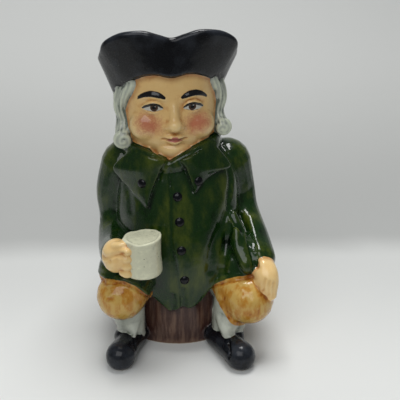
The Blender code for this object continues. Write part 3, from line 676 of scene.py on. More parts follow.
def make_hollows(wall, floor):
    narrow = 0.9 + wall
    rings = []
    for height, shrink in ((floor, 0.86), (floor + 1.5, 0.94), (floor + 4, 0.99), (14, 1.0)):
        width = (along(BARREL_RADIUS, 0) - narrow) * shrink
        rings.append(hollow_ring(height, 0, width, width, width))
    for level in (32, 45, 60, 75, 86, 93):
        width, front, back = (along(COAT[side], level) - narrow for side in ("width", "front", "back"))
        rings.append(hollow_ring(level, 0, width * 0.97, front * 0.98, back))
    in_head = ((101, 19.5, 21.5, 22.0), (110, 20.5, 22.3, 23.5), (131, 20.8, 22.3, 23.8))
    for level, width, front, back in in_head:
        spare = 4.0 - wall
        rings.append(hollow_ring(level, HEAD["x"] * 0.8, width + spare, front + spare, back + spare))
    rings += [hat_ring(-0.1, wall + 1.2)]
    rings += [hat_ring(share, 1.12 * wall) for share in (0.12, 0.3, 0.5, 0.7, 0.9, 1.05, 1.25)]
    hollows = [loft("inside", rings)]
    for points, radii in LIMB_HOLLOWS:
        hollows.append(limb("inside", points, [r + 4.0 - wall for r in radii]))
    return hollows


# The hem where it lies over the thighs, as (x, z) seen from the front.
HEM_LEFT = [(-47, 44.0), (-42, 44.4), (-37, 45.9), (-32.2, 46.4), (-28.7, 45.4), (-25.5, 43.5), (-22.3, 40.0),
            (-19.5, 35.6), (-17, 31)]
HEM_RIGHT = [(13.4, 34.6), (15.8, 37.5), (19.8, 41.0), (23.7, 43.0), (27.3, 44.2), (30.7, 44.8), (34.1, 45.6),
             (36.9, 48.0), (40.0, 50.2), (48, 48.5)]


# Where the breeches end over a stocking, on the leg that is turned outwards.
BREECHES_RIGHT = [(13.4, 34.6), (18.4, 25.6), (22.0, 20.0), (26.6, 16.4), (31.6, 14.6)]


def shifted(points, x, z):
    return [(a + x, b + z) for a, b in points]


# Lines that are drawn into the clay, each (points, half width, depth). Points of two numbers are (x, z) as
# seen from the front, and a depth below zero raises a ridge.
COAT_LINES = [
    # The coat's front edge, and the folds beside it at the hem.
    ([(-6.6, 99), (-6.4, 88), (-6.5, 75.2), (-6.6, 61.6), (-4.9, 51.7), (-3.3, 40), (-2.3, 31), (-2.2, 23.6)],
     0.8, 0.6),
    ([(-1.4, 36), (-0.9, 30), (-0.7, 24.6)], 1.5, 0.9),
    ([(-6.6, 33), (-6.2, 28.3), (-6.7, 22.6)], 1.4, 0.8),
    # A step under each leaf of the collar.
    (shifted([(-34.0, 94.6), (-30.8, 90.2), (-26.0, 85.6), (-18.8, 79.0)], 0.3, -1.0), 1.8, 0.1),
    (shifted([(-8.6, 102.0), (-10.8, 99.0), (-13.2, 92.5), (-15.8, 86.4), (-17.8, 79.6)], 1.0, 0), 1.2, 0.5),
    (shifted([(6.4, 87.0), (10.6, 90.9), (17.0, 94.6), (24.0, 95.6)], 0.3, -1.0), 1.8, 0.2),
    (shifted([(-0.4, 102.4), (1.6, 99.0), (3.0, 95.0), (4.4, 90.6), (5.4, 87.6)], -0.9, 0), 1.2, 0.5),
    # The hem stands proud of the breeches.
    (shifted(HEM_LEFT, 0, -1.1), 1.0, 0.8),
    (shifted(HEM_LEFT, 0, 0.9), 1.0, -0.35),
    (shifted(HEM_RIGHT[:7], 0, -1.1), 1.0, 0.8),
    (shifted(HEM_RIGHT[:7], 0, 0.9), 1.0, -0.35),
    # Folds between the sleeve and the skirt, and below the armpit.
    ([(31.6, 67), (32.9, 63.2), (33.6, 60.1), (33.9, 57.0), (35.2, 50.5)], 1.7, 1.9),
    ([(25.6, 94), (26.2, 87.8), (24.8, 81.1), (24.3, 75), (26.4, 70), (30.0, 65.5)], 2.2, 1.5),
    ([(24.5, 76), (20.4, 69.5), (16.0, 61.7), (13.4, 54), (13.0, 46)], 3.4, 0.9),
    ([(24.0, 68), (22.6, 61), (20.8, 53), (19.5, 46)], 2.0, 1.4),
    ([(27.3, 66), (26.2, 59), (28.2, 53.5), (30.6, 47.6)], 2.2, -1.1),
    ([(37.2, 66), (37.8, 59.1), (38.8, 52.4)], 2.2, -0.7),
    ([(39.5, 77.6), (35.6, 75.6), (31, 75.2)], 2.2, 0.5),
    # Folds across the bend of the other arm, and its armhole.
    ([(-44, 60.8), (-39.7, 62.2), (-36, 63.9), (-32.0, 65.4)], 1.4, 1.2),
    ([(-42, 56.2), (-38.3, 60.8), (-35.0, 62.2)], 1.2, 0.5),
    ([(-27.4, 85), (-26.6, 80), (-26.6, 75.5)], 2.8, 0.6),
    # The coat's tails part behind.
    ([(0, 36, 44), (0, 38, 34), (0, 38.8, 18)], 1.2, 1.4),
    # The slits of the shoes.
    ([(20.6, 12.0), (20.2, 9.4), (19.6, 7.4)], 0.8, 0.9),
    ([(-28.2, 12.6), (-27.6, 10.2), (-27.2, 8.6)], 0.7, 0.7),
]


def by_head(points):
    """Points that are given from the head's own axis."""
    return [(HEAD["x"] + place[0], *place[1:]) for place in points]


FACE_LINES = [
    # Eye sockets, the hollow under the lower lip, and the groove under the nose.
    (by_head([(6.2, -25, 130.0), (10, -24, 131.0), (14, -22, 129.6)]), 2.6, 0.8),
    (by_head([(-6.2, -25, 130.0), (-10, -24, 131.0), (-14, -22, 129.6)]), 2.6, 0.8),
    (by_head([(-5.2, -25, 110.3), (0.4, -26, 109.7), (6, -25, 110.3)]), 1.6, 0.5),
    (by_head([(0.4, -28, 117.6), (0.4, -27.5, 115.8)]), 0.9, 0.4),
]
# The line between the lips.
FACE_LINES_LATE = [
    (by_head([(-5.8, -25, 113.3), (-2.4, -27, 113.2), (0.4, -28, 113.0), (3.2, -27, 113.2),
              (6.6, -25, 113.3)]), 0.55, 0.8),
]
# Furrows down the hair behind, and between the strands of the locks beside the face.
HAIR_LINES = [
    (by_head([(29 * math.sin(math.radians(turn)), 30 * math.cos(math.radians(turn)), z)
              for z in (122, 114, 106, 99)]), 1.1, 1.1)
    for turn in range(-70, 71, 20)
]
for side, low in ((-1, 0.0), (1, 3.0)):
    for shift, deep in ((-1.3, 0.35), (0.6, 0.4), (2.3, 0.3)):
        lock = [(22.4, 140), (25.2, 132), (25.6, 126), (24.2, 119.5), (25.2, 114.5)]
        HAIR_LINES.append((by_head([(side * (out + shift), up + low) for out, up in lock]), 0.7, deep))
# Shallow grooves between the fingers of the hand on the knee.
HAND_LINES = [
    ([(39.2, 46.0), (38.4, 42.6), (38.2, 40.0)], 0.8, 0.45),
    ([(41.2, 45.0), (40.8, 41.0), (41.0, 37.6)], 0.8, 0.45),
    ([(43.4, 44.0), (43.2, 39.6), (43.4, 35.8)], 0.8, 0.45),
]


# Strokes of the brush on top of the ground glazes, each (points near the surface, half widths).

def face_strokes():
    """Eyes, brows and mouth."""
    strokes = {}

    def stroke(name, points, halves):
        strokes.setdefault(name, []).append((by_head(points), halves))

    for s in (-1, 1):
        stroke("eye_white", [(5.6 * s, -25, 129.0), (9.8 * s, -25.5, 129.4), (14.0 * s, -23, 128.8)],
               [0.6, 2.0, 0.6])
        stroke("iris", [(9.5 * s, -25.5, 129.5)], [2.0])
        stroke("pupil", [(9.5 * s, -25.5, 129.5)], [1.05])
        # A white dot in each eye, a painted highlight.
        stroke("painted_glint", [(9.5 * s + 0.55, -25.5, 130.1)], [0.38])
        stroke("lash", [(5.2 * s, -25, 129.1), (7.4 * s, -26, 130.7), (10.1 * s, -26, 131.2),
                        (12.8 * s, -24, 130.4), (15.0 * s, -22, 128.7)], [0.35, 0.7, 0.75, 0.7, 0.4])
        stroke("lid", [(6.4 * s, -25, 128.1), (9.8 * s, -25.2, 127.4), (13.4 * s, -23, 127.9)],
               [0.12, 0.2, 0.12])
        stroke("brow", [(4.4 * s, -26, 134.3), (7.6 * s, -26, 135.9), (11.4 * s, -25, 136.4),
                        (14.6 * s, -23, 135.4), (17.0 * s, -20, 133.2)], [0.7, 1.5, 1.55, 1.2, 0.6])
    stroke("lip", [(-4.8, -26, 113.8), (-1.8, -27, 114.4), (0.4, -28, 114.2), (2.6, -27, 114.4),
                   (5.6, -26, 113.8)], [0.2, 0.75, 0.7, 0.75, 0.2])
    stroke("lip", [(-3.8, -26, 112.7), (0.4, -27, 112.1), (4.6, -26, 112.7)], [0.2, 0.95, 0.2])
    stroke("mouth", [(-5.4, -26, 113.3), (0.4, -28, 113.1), (6.2, -26, 113.3)], [0.1, 0.2, 0.1])
    return strokes


def soft_strokes():
    """The cheeks' colour, two buttonholes and the worn rim of the hat."""
    rim = []
    for angle in range(-180, 181, 4):
        radius, height, _ = lip_centre(angle, RIM_RADIUS)
        rim.append(hat_place(angle, radius, height + RIM_RADIUS))
    return {
        "blush": [(by_head([(s * 11.0, -26, 120.6), (s * 14.0, -24, 121.2)]), [0.0, 0.0]) for s in (-1, 1)],
        "buttonhole": [([(-20.9, -31, 85.2), (-20.2, -32, 83.6)], [0.35, 0.35]),
                       ([(5.0, -32, 100.2), (6.2, -32, 98.8)], [0.35, 0.35])],
        "rim": [(rim, [0.0] * len(rim))],
    }


# Fusing, hollowing and carving.

def object_of(name, forms):
    """One object that holds all these closed forms."""
    points, faces, count = [], [], 0
    for _, form_points, form_faces in forms:
        points.append(form_points)
        faces += [[count + i for i in face] for face in form_faces]
        count += len(form_points)
    mesh = bpy.data.meshes.new(name)
    mesh.from_pydata((np.vstack(points) * unit()).tolist(), [], faces)
    obj = bpy.data.objects.new(name, mesh)
    bpy.context.scene.collection.objects.link(obj)
    return obj


def applied(obj):
    """The object with its modifiers made real."""
    bpy.context.view_layer.update()
    graph = bpy.context.evaluated_depsgraph_get()
    mesh = bpy.data.meshes.new_from_object(obj.evaluated_get(graph))
    obj.modifiers.clear()
    old, obj.data = obj.data, mesh
    bpy.data.meshes.remove(old)
    return obj


def pressed(obj, grain, rounds):
    """The object's overlapping forms as one skin, sponged smooth."""
    clay = obj.modifiers.new("clay", "REMESH")
    clay.mode = "VOXEL"
    clay.voxel_size = grain * unit()
    if rounds:
        sponge = obj.modifiers.new("sponge", "SMOOTH")
        sponge.factor = 0.5
        sponge.iterations = rounds
    return applied(obj)


def cut(obj, cutter):
    boolean = obj.modifiers.new(cutter.name, "BOOLEAN")
    boolean.operation = "DIFFERENCE"
    boolean.solver = "MANIFOLD"
    boolean.object = cutter
    applied(obj)
    bpy.data.objects.remove(cutter)
    if not obj.data.polygons:
        raise RuntimeError("the cut took the whole jug away")
    return obj


def ground_block():
    """What is below the flat underside."""
    low, high = -40.0, 0.0
    square = [(-90, -90), (90, -90), (90, 90), (-90, 90)]
    return loft("base", [[(x, y, low) for x, y in square], [(x, y, high) for x, y in square]])


def places_of(mesh):
    places = np.empty(3 * len(mesh.vertices))
    mesh.vertices.foreach_get("co", places)
    return places.reshape(-1, 3) / unit()


def normals_of(mesh):
    normals = np.empty(3 * len(mesh.vertices), np.float32)
    mesh.vertex_normals.foreach_get("vector", normals)
    return normals.reshape(-1, 3).astype(float)


def set_places(mesh, places):
    mesh.vertices.foreach_set("co", (places * unit()).ravel())
    mesh.update()


def snapped(tree, points, steps=16):
    """A smooth line through the points, laid on the surface. Points of two numbers are seen from the
    front."""
    flat = len(points[0]) == 2
    if flat:
        points = [(x, NEAR_FRONT, z) for x, z in points]
    line = route_of(points, steps) if len(points) > 1 else np.array(points, float)
    found = []
    for place in line:
        hit = None
        if flat:
            eye = Vector((place[0], IN_FRONT, place[2])) * unit()
            hit = tree.ray_cast(eye, Vector((0, 1, 0)))[0]
        if hit is None:
            hit = tree.find_nearest(Vector(place) * unit())[0]
        found.append(tuple(hit))
    return np.array(found) / unit()


def gaps_to_line(places, line, reach, halves=None):
    """Distance from each place to the line, less its half width there. Only places within reach count."""
    gaps = np.full(len(places), FAR_FROM_LINE)
    low, high = line.min(axis=0) - reach, line.max(axis=0) + reach
    near = np.flatnonzero(((places > low) & (places < high)).all(axis=1))
    best = np.full(len(near), FAR_FROM_LINE)
    widths = np.zeros(len(line)) if halves is None else halves
    for point, width in zip(line, widths):
        best = np.minimum(best, np.sqrt(((places[near] - point) ** 2).sum(axis=1)) - width)
    gaps[near] = best
    return gaps


def carve(jug, lines):
    """Presses lines into the surface, or raises them, and notes how far each point went."""
    tree = BVHTree.FromObject(jug, bpy.context.evaluated_depsgraph_get())
    places = places_of(jug.data)
    normals = normals_of(jug.data)
    sunk = np.zeros(len(places))
    for points, width, depth in lines:
        gaps = gaps_to_line(places, snapped(tree, points), LINE_REACH * width)
        press = depth * np.exp(-(gaps / width) ** 2)
        sunk = np.where(np.abs(press) > np.abs(sunk), press, sunk)
    set_places(jug.data, places - normals * sunk[:, None])
    add_shade(jug.data, "pressed", sunk)


def add_shade(mesh, name, values):
    attribute = mesh.attributes.get(name) or mesh.attributes.new(name, "FLOAT", "POINT")
    attribute.data.foreach_set("value", np.asarray(values, np.float32))


def glaze_gaps(vectors, forms):
    """How far each place is from the forms of each glaze."""
    by_glaze, gaps = {}, {}
    for form in forms:
        by_glaze.setdefault(form[0], []).append(form)
    for glaze, group in by_glaze.items():
        points, faces = [], []
        for _, form_points, form_faces in group:
            faces += [[len(points) + i for i in face] for face in form_faces]
            points += form_points.tolist()
        tree = BVHTree.FromPolygons(points, faces)
        near = [tree.find_nearest(p, FAR_FROM_GLAZE)[3] for p in vectors]
        gaps[glaze] = np.array([FAR_FROM_GLAZE if n is None else n for n in near])
    return gaps


def redraw_borders(places, normals, gaps):
    """Moves a few borders between glazes to where the brush set them."""
    x, y, z = places.T
    # The end of the breeches over the stocking.
    edge = np.array(BREECHES_RIGHT)
    over = np.clip(0.8 * (z - np.interp(x, edge[:, 0], edge[:, 1])), -1.5, 1.5)
    held = (x > 11) & (y < -18) & (z > 9) & (z < 48)
    least = np.minimum(gaps["ochre"], gaps["stocking"])
    gaps["ochre"] = np.where(held, least + np.maximum(-over, 0), gaps["ochre"])
    gaps["stocking"] = np.where(held, least + np.maximum(over, 0), gaps["stocking"])
    # The hem over the thighs.
    others = np.min([gaps[g] for g in gaps if g != "green"], axis=0)
    for table, zone in ((HEM_LEFT, x < -18.6), (HEM_RIGHT, x > 13.8)):
        edge = np.array(route_of([(a, 0, b) for a, b in table], 6))
        under = 0.8 * (np.interp(x, edge[:, 0], edge[:, 2]) - z)
        least = np.minimum(gaps["ochre"], gaps["green"])
        held = zone & (y < -18) & (z > 22) & (z < 60) & (least <= others)
        held &= (gaps["flesh"] > least) & (gaps["mug"] > least)
        gaps["green"] = np.where(held, others + under, gaps["green"])
    # The hollow of the head and hat, which faces its own axis.
    outward = normals[:, 0] * (x - HEAD["x"]) + normals[:, 1] * y
    held = (outward < -0.5 * np.hypot(x - HEAD["x"], y)) & (z > 95) & (z < 150) & (gaps["inside"] < 3.5)
    gaps["inside"] = np.where(held, gaps["inside"] - 4.0, gaps["inside"])


def mark_glazes(jug, forms):
    """Notes for each point how far it is from the forms of each glaze, from the painted strokes, and how
    deep it lies in a recess."""
    places, normals = places_of(jug.data), normals_of(jug.data)
    pressed_by = np.empty(len(places), np.float32)
    jug.data.attributes["pressed"].data.foreach_get("value", pressed_by)
    gaps = glaze_gaps([Vector(p) for p in places + normals * pressed_by[:, None]], forms)
    redraw_borders(places, normals, gaps)
    for glaze, near in gaps.items():
        add_shade(jug.data, "near_" + glaze, near)
    tree = BVHTree.FromObject(jug, bpy.context.evaluated_depsgraph_get())
    for name, strokes in {**face_strokes(), **soft_strokes()}.items():
        reach = np.full(len(places), FAR_FROM_LINE)
        for points, halves in strokes:
            line = snapped(tree, points)
            spread = np.interp(np.linspace(0, 1, len(line)), np.linspace(0, 1, len(halves)), halves)
            reach = np.minimum(reach, gaps_to_line(places, line, FAR_FROM_LINE, spread))
        add_shade(jug.data, "stroke_" + name, reach)
    sponge = jug.modifiers.new("sponge", "SMOOTH")
    sponge.factor = 0.5
    sponge.iterations = RECESS_ROUNDS
    bpy.context.view_layer.update()
    smooth = jug.evaluated_get(bpy.context.evaluated_depsgraph_get()).to_mesh()
    recess = ((places_of(smooth) - places) * normals).sum(axis=1)
    jug.modifiers.clear()
    add_shade(jug.data, "recess", np.clip(recess, -1, 1))


def model_jug(sizes):
    u = unit()
    lip, wall, floor = sizes.lip / u, sizes.wall / u, sizes.floor / u
    big = make_barrel() + make_legs() + make_coat() + make_head() + make_hair() + make_hat(lip) + make_mug()
    big += make_hands() + make_handle()
    jug = pressed(object_of("toby_jug_glazed", big), FORM_GRAIN, 0)
    hollows = make_hollows(wall, floor)
    cut(jug, pressed(object_of("whole_hollow", hollows), HOLLOW_GRAIN, HOLLOW_ROUNDS))
    cut(jug, object_of("ground", [ground_block()]))
    cut(jug, object_of("mug_hollow", [make_mug_hollow()]))
    carve(jug, FACE_LINES)
    tree = BVHTree.FromObject(jug, bpy.context.evaluated_depsgraph_get())
    fine = make_lip(lip) + make_face_details() + make_curls() + make_fingers() + make_leaves(tree)
    bm = bmesh.new()
    details = object_of("details", fine)
    bm.from_mesh(jug.data)
    bm.from_mesh(details.data)
    bm.to_mesh(jug.data)
    bm.free()
    bpy.data.objects.remove(details)
    pressed(jug, sizes.grain, sizes.rounds)
    carve(jug, COAT_LINES + FACE_LINES_LATE + HAIR_LINES + HAND_LINES)
    thin = jug.modifiers.new("thin", "DECIMATE")
    thin.ratio = min(1.0, sizes.faces / (2 * len(jug.data.polygons)))
    applied(jug)
    places = places_of(jug.data)
    places[places[:, 2] < UNDERSIDE, 2] = 0.0
    set_places(jug.data, places)
    mark_glazes(jug, big + fine + hollows + [make_mug_hollow()])
    jug.data.shade_smooth()
    return jug


# Finishes.

class Palette:
    """Adds nodes to a material's tree, and links what it is given or sets it as a value."""

    def __init__(self, name):
        self.material = bpy.data.materials.new(name)
        self.material.use_nodes = True
        self.tree = self.material.node_tree
        self.shader = self.tree.nodes["Principled BSDF"]
        space = self.tree.nodes.new("ShaderNodeTexCoord")
        self.grid = self.vector("SCALE", space.outputs["Object"], scale=1.0 / unit())

    def give(self, socket, value):
        if isinstance(value, bpy.types.NodeSocket):
            self.tree.links.new(value, socket)
        elif isinstance(value, (tuple, list)) and socket.type == "RGBA":
            socket.default_value = (*value[:3], 1.0)
        else:
            socket.default_value = value

    def vector(self, operation, first, second=None, scale=None):
        node = self.tree.nodes.new("ShaderNodeVectorMath")
        node.operation = operation
        self.give(node.inputs[0], first)
        if second is not None:
            self.give(node.inputs[1], second)
        if scale is not None:
            self.give(node.inputs["Scale"], scale)
        return node.outputs[0]

    def math(self, operation, *values, clamp=False):
        node = self.tree.nodes.new("ShaderNodeMath")
        node.operation = operation
        node.use_clamp = clamp
        for socket, value in zip(node.inputs, values):
            self.give(socket, value)
        return node.outputs[0]

    def mix(self, share, first, second, blend="MIX"):
        node = self.tree.nodes.new("ShaderNodeMix")
        node.data_type = "RGBA"
        node.blend_type = blend
        self.give(node.inputs[0], share)
        self.give(node.inputs[6], first)
        self.give(node.inputs[7], second)
        return node.outputs[2]

    def noise(self, stretch, scale, detail=3.0, roughness=0.55, shift=0.0):
        """Noise from 0 to 1 over the grid, stretched along each axis, with scale in waves per unit."""
        node = self.tree.nodes.new("ShaderNodeTexNoise")
        place = self.vector("MULTIPLY_ADD", self.grid, tuple(stretch))
        self.give(place.node.inputs[2], (shift, shift, shift))
        self.give(node.inputs["Vector"], place)
        node.inputs["Scale"].default_value = scale
        node.inputs["Detail"].default_value = detail
        node.inputs["Roughness"].default_value = roughness
        return node.outputs["Fac"]

    def specks(self, scale, shift=0.0):
        """Distance to the nearest of scattered points, and a random number that each has for itself."""
        node = self.tree.nodes.new("ShaderNodeTexVoronoi")
        place = self.vector("ADD", self.grid, (shift, shift, shift))
        self.give(node.inputs["Vector"], place)
        node.inputs["Scale"].default_value = scale
        pick = self.tree.nodes.new("ShaderNodeSeparateColor")
        self.give(pick.inputs[0], node.outputs["Color"])
        return node.outputs["Distance"], pick.outputs[0]

    def shade(self, name):
        node = self.tree.nodes.new("ShaderNodeAttribute")
        node.attribute_name = name
        return node.outputs["Fac"]

    def spread(self, value, low, high, start=0.0, end=1.0, smooth=True):
        """The value's place between low and high, as a share from start to end."""
        node = self.tree.nodes.new("ShaderNodeMapRange")
        node.interpolation_type = "SMOOTHSTEP" if smooth else "LINEAR"
        for socket, given in zip(node.inputs, (value, low, high, start, end)):
            self.give(socket, given)
        return node.outputs["Result"]

    def ramp(self, share, stops):
        node = self.tree.nodes.new("ShaderNodeValToRGB")
        node.color_ramp.interpolation = "EASE"
        while len(node.color_ramp.elements) < len(stops):
            node.color_ramp.elements.new(0.5)
        for element, (position, colour) in zip(node.color_ramp.elements, stops):
            element.position = position
            element.color = (*colour, 1.0)
        self.give(node.inputs["Fac"], share)
        return node.outputs["Color"]


def times(colour, *factors):
    factors = factors * 3 if len(factors) == 1 else factors
    return tuple(min(1.0, c * f) for c, f in zip(colour, factors))


def glaze_tones(glazes):
    """For each glaze its colour where it pools, at its usual thickness and where it is thin, then the
    stretch and scale of its brush marks, and how strongly marks and recesses show. The pooled colour is
    also painted shade in the recesses, and the thin colour also painted light on the ridges."""
    black, hair, flesh, green = glazes.black, glazes.hair, glazes.flesh, glazes.green
    mug, ochre, stocking = glazes.mug, glazes.ochre, glazes.stocking
    brown, inside = glazes.brown, glazes.inside
    return {
        # The black's blue-grey thin colour, in its marks and on its ridges, is a painted sheen as well as
        # thin glaze.
        "black": ((times(black, 0.4), tuple(black), (0.030, 0.034, 0.042)), (1, 1, 0.8), 0.11, 0.50, 0.9),
        "hair": ((times(hair, 0.32, 0.36, 0.34), tuple(hair), times(hair, 1.50, 1.50, 1.40)),
                 (1, 1, 0.35), 0.32, 0.55, 1.7),
        "flesh": ((times(flesh, 0.66, 0.42, 0.28), tuple(flesh), times(flesh, 1.10, 1.20, 1.35)),
                  (1, 1, 1), 0.16, 0.42, 0.9),
        "green": ((times(green, 0.12, 0.20, 0.22), tuple(green), times(green, 9.0, 2.9, 2.4)),
                  (1, 1, 0.42), 0.11, 0.78, 0.55),
        "mug": ((times(mug, 0.60, 0.62, 0.58), tuple(mug), times(mug, 1.22)), (1, 1, 1), 0.42, 0.55, 0.35),
        "ochre": ((times(ochre, 0.62, 0.40, 0.24), tuple(ochre), times(ochre, 1.22, 1.75, 3.6)),
                  (1, 1, 0.45), 0.30, 1.15, 0.9),
        "stocking": ((times(stocking, 0.45, 0.48, 0.44), tuple(stocking), times(stocking, 1.32)),
                     (1, 1, 0.7), 0.20, 0.70, 1.3),
        "brown": ((times(brown, 0.30), tuple(brown), times(brown, 3.6, 5.2, 4.6)),
                  (1, 1, 0.10), 0.45, 0.60, 0.9),
        "inside": ((times(inside, 0.75), tuple(inside), times(inside, 1.15)), (1, 1, 1), 0.08, 0.20, 0.8),
    }


def paint_jug(glazes):
    """The finish of the whole jug: ground glazes by form, brush strokes over them, and a clear gloss."""
    p = Palette("hand_painted_glaze")
    recess = p.shade("recess")
    wander = p.math("SUBTRACT", p.noise((1, 1, 1), 0.35, 2.0), 0.5)
    ripple = p.math("SUBTRACT", p.noise((1, 1, 1), 1.3, 2.0, shift=7.0), 0.5)
    best, colour = None, None
    near = {}
    for number, (glaze, (tones, stretch, scale, streak, pool_and_shade)) in enumerate(glaze_tones(glazes).items()):
        near[glaze] = p.shade("near_" + glaze)
        marks = p.math("SUBTRACT", p.noise(stretch, scale, 4.0, 0.6, shift=11.0 * number), 0.5)
        # Painted shade and light: darker in recesses, as pooled glaze and painted shade, and lighter on
        # ridges, as thin glaze and painted light.
        tone = p.math("MULTIPLY_ADD", recess, -pool_and_shade, 0.5)
        tone = p.math("MULTIPLY_ADD", marks, 2.0 * streak, tone, clamp=True)
        own = p.ramp(tone, ((0.10, tones[0]), (0.46, tones[1]), (0.96, tones[2])))
        if best is None:
            best, colour = near[glaze], own
            continue
        sense = 1.0 if number % 2 else -1.0
        lead = p.math("SUBTRACT", best, near[glaze])
        lead = p.math("MULTIPLY_ADD", wander, 0.6 * sense, lead)
        lead = p.math("MULTIPLY_ADD", ripple, 0.15, lead)
        colour = p.mix(p.spread(lead, -0.12, 0.12), colour, own)
        best = p.math("MINIMUM", best, near[glaze])
    # Warm shading where the face meets hair, hat and collar.
    border = p.math("MINIMUM", p.math("MINIMUM", near["hair"], near["black"]), near["green"])
    skin = p.spread(p.math("SUBTRACT", border, near["flesh"]), -0.1, 0.25)
    skin = p.math("MULTIPLY", skin, p.spread(p.math("SUBTRACT", near["inside"], near["flesh"]), -0.1, 0.25))
    warm = p.math("MULTIPLY", p.spread(border, 3.4, 0.1, 0.0, 0.85), skin)
    warm = p.math("MULTIPLY", warm, p.spread(wander, -0.35, 0.25, 0.6, 1.0))
    colour = p.mix(warm, colour, (0.50, 0.22, 0.07))
    blush = p.math("MULTIPLY_ADD", ripple, 5.0, p.math("MULTIPLY_ADD", wander, 5.0, p.shade("stroke_blush")))
    blush = p.math("MULTIPLY", p.spread(blush, 8.2, 0.5, 0.0, 0.80), skin)
    colour = p.mix(blush, colour, (0.52, 0.115, 0.075))
    # The glint in each eye is a painted highlight.
    strokes = (
        ("eye_white", (0.62, 0.60, 0.52), 0.10), ("iris", (0.060, 0.026, 0.012), 0.10),
        ("pupil", (0.003, 0.003, 0.003), 0.08), ("painted_glint", (0.75, 0.75, 0.72), 0.06),
        ("lid", (0.28, 0.12, 0.06), 0.14), ("lash", (0.006, 0.005, 0.005), 0.12),
        ("brow", (0.008, 0.008, 0.009), 0.14), ("lip", (0.50, 0.16, 0.115), 0.22),
        ("mouth", (0.23, 0.07, 0.045), 0.12), ("buttonhole", (0.002, 0.006, 0.002), 0.2),
    )
    for name, tint, soft in strokes:
        gap = p.math("MULTIPLY_ADD", ripple, 0.35 if name in ("brow", "lip", "buttonhole") else 0.0,
                     p.shade("stroke_" + name))
        colour = p.mix(p.spread(gap, soft, -soft), colour, tint)
    # Pinholes in the mug's glaze and along the hat's rim.
    gap, pick = p.specks(0.42)
    hole = p.math("MULTIPLY", p.spread(gap, 0.13, 0.06), p.spread(pick, 0.80, 0.82))
    on_mug = p.spread(near["mug"], 0.5, 0.2)
    colour = p.mix(p.math("MULTIPLY", hole, on_mug), colour, (0.05, 0.045, 0.03))
    gap, pick = p.specks(0.36, 5.0)
    chip = p.math("MULTIPLY", p.spread(gap, 0.11, 0.06), p.spread(pick, 0.72, 0.74))
    chip = p.math("MULTIPLY", chip, p.spread(p.shade("stroke_rim"), 2.4, 1.6))
    colour = p.mix(chip, colour, (0.62, 0.58, 0.50))
    # The underside is wiped clean of glaze.
    split = p.tree.nodes.new("ShaderNodeSeparateXYZ")
    p.give(split.inputs[0], p.grid)
    height = split.outputs["Z"]
    bare = p.spread(height, 0.45, 0.15)
    colour = p.mix(bare, colour, (0.66, 0.55, 0.42))
    p.give(p.shader.inputs["Base Color"], colour)
    rough = p.math("MULTIPLY_ADD", bare, 0.5, p.spread(ripple, -0.3, 0.3, 0.20, 0.30))
    p.give(p.shader.inputs["Roughness"], rough)
    gloss = p.math("MULTIPLY_ADD", p.spread(near["black"], 0.3, 0.1), -0.38, 0.62)
    p.give(p.shader.inputs["Coat Weight"], p.math("MULTIPLY", p.math("SUBTRACT", 1.0, bare), gloss))
    p.shader.inputs["Coat Roughness"].default_value = 0.045
    p.shader.inputs["Coat IOR"].default_value = 1.5
    p.shader.inputs["Specular IOR Level"].default_value = 0.12
    # Relief of brush marks, strands of hair, and a slight wave in the gloss.
    across = p.math("ARCTAN2", p.math("SUBTRACT", split.outputs["X"], HEAD["x"]), split.outputs["Y"])
    bend = p.math("MULTIPLY", p.math("SINE", p.math("MULTIPLY", height, 0.42)), 0.9)
    swing = p.math("MULTIPLY_ADD", wander, 7.0, bend)
    strand = p.math("SINE", p.math("ADD", p.math("MULTIPLY", across, 62.0), swing))
    others = p.math("MINIMUM", p.math("MINIMUM", near["flesh"], near["black"]), near["green"])
    on_hair = p.spread(p.math("SUBTRACT", others, near["hair"]), -0.1, 0.6)
    relief = p.math("MULTIPLY", p.math("MULTIPLY", strand, on_hair), 0.07)
    relief = p.math("MULTIPLY_ADD", p.noise((1, 1, 1), 0.12, 2.0, shift=3.0), 0.25, relief)
    relief = p.math("MULTIPLY_ADD", p.noise((1, 1, 0.6), 0.8, 3.0, shift=5.0), 0.030, relief)
    relief = p.math("MULTIPLY_ADD", hole, p.math("MULTIPLY", on_mug, -0.15), relief)
    bump = p.tree.nodes.new("ShaderNodeBump")
    bump.inputs["Strength"].default_value = 1.0
    bump.inputs["Distance"].default_value = unit()
    p.give(bump.inputs["Height"], relief)
    p.give(p.shader.inputs["Normal"], bump.outputs[0])
    p.give(p.shader.inputs["Coat Normal"], bump.outputs[0])
    return p.material


def paint_buttons(glazes):
    p = Palette("button_glaze")
    marks = p.noise((1, 1, 1), 0.9, 3.0)
    tones = ((0.3, times(glazes.black, 0.6)), (0.6, tuple(glazes.black)), (0.85, (0.018, 0.02, 0.024)))
    colour = p.ramp(marks, tones)
    p.give(p.shader.inputs["Base Color"], colour)
    p.give(p.shader.inputs["Roughness"], p.spread(marks, 0.2, 0.8, 0.14, 0.26))
    p.shader.inputs["Coat Weight"].default_value = 0.3
    p.shader.inputs["Coat Roughness"].default_value = 0.04
    p.shader.inputs["Specular IOR Level"].default_value = 0.12
    bump = p.tree.nodes.new("ShaderNodeBump")
    bump.inputs["Distance"].default_value = unit()
    p.give(bump.inputs["Height"], p.math("MULTIPLY", marks, 0.08))
    p.give(p.shader.inputs["Normal"], bump.outputs[0])
    return p.material


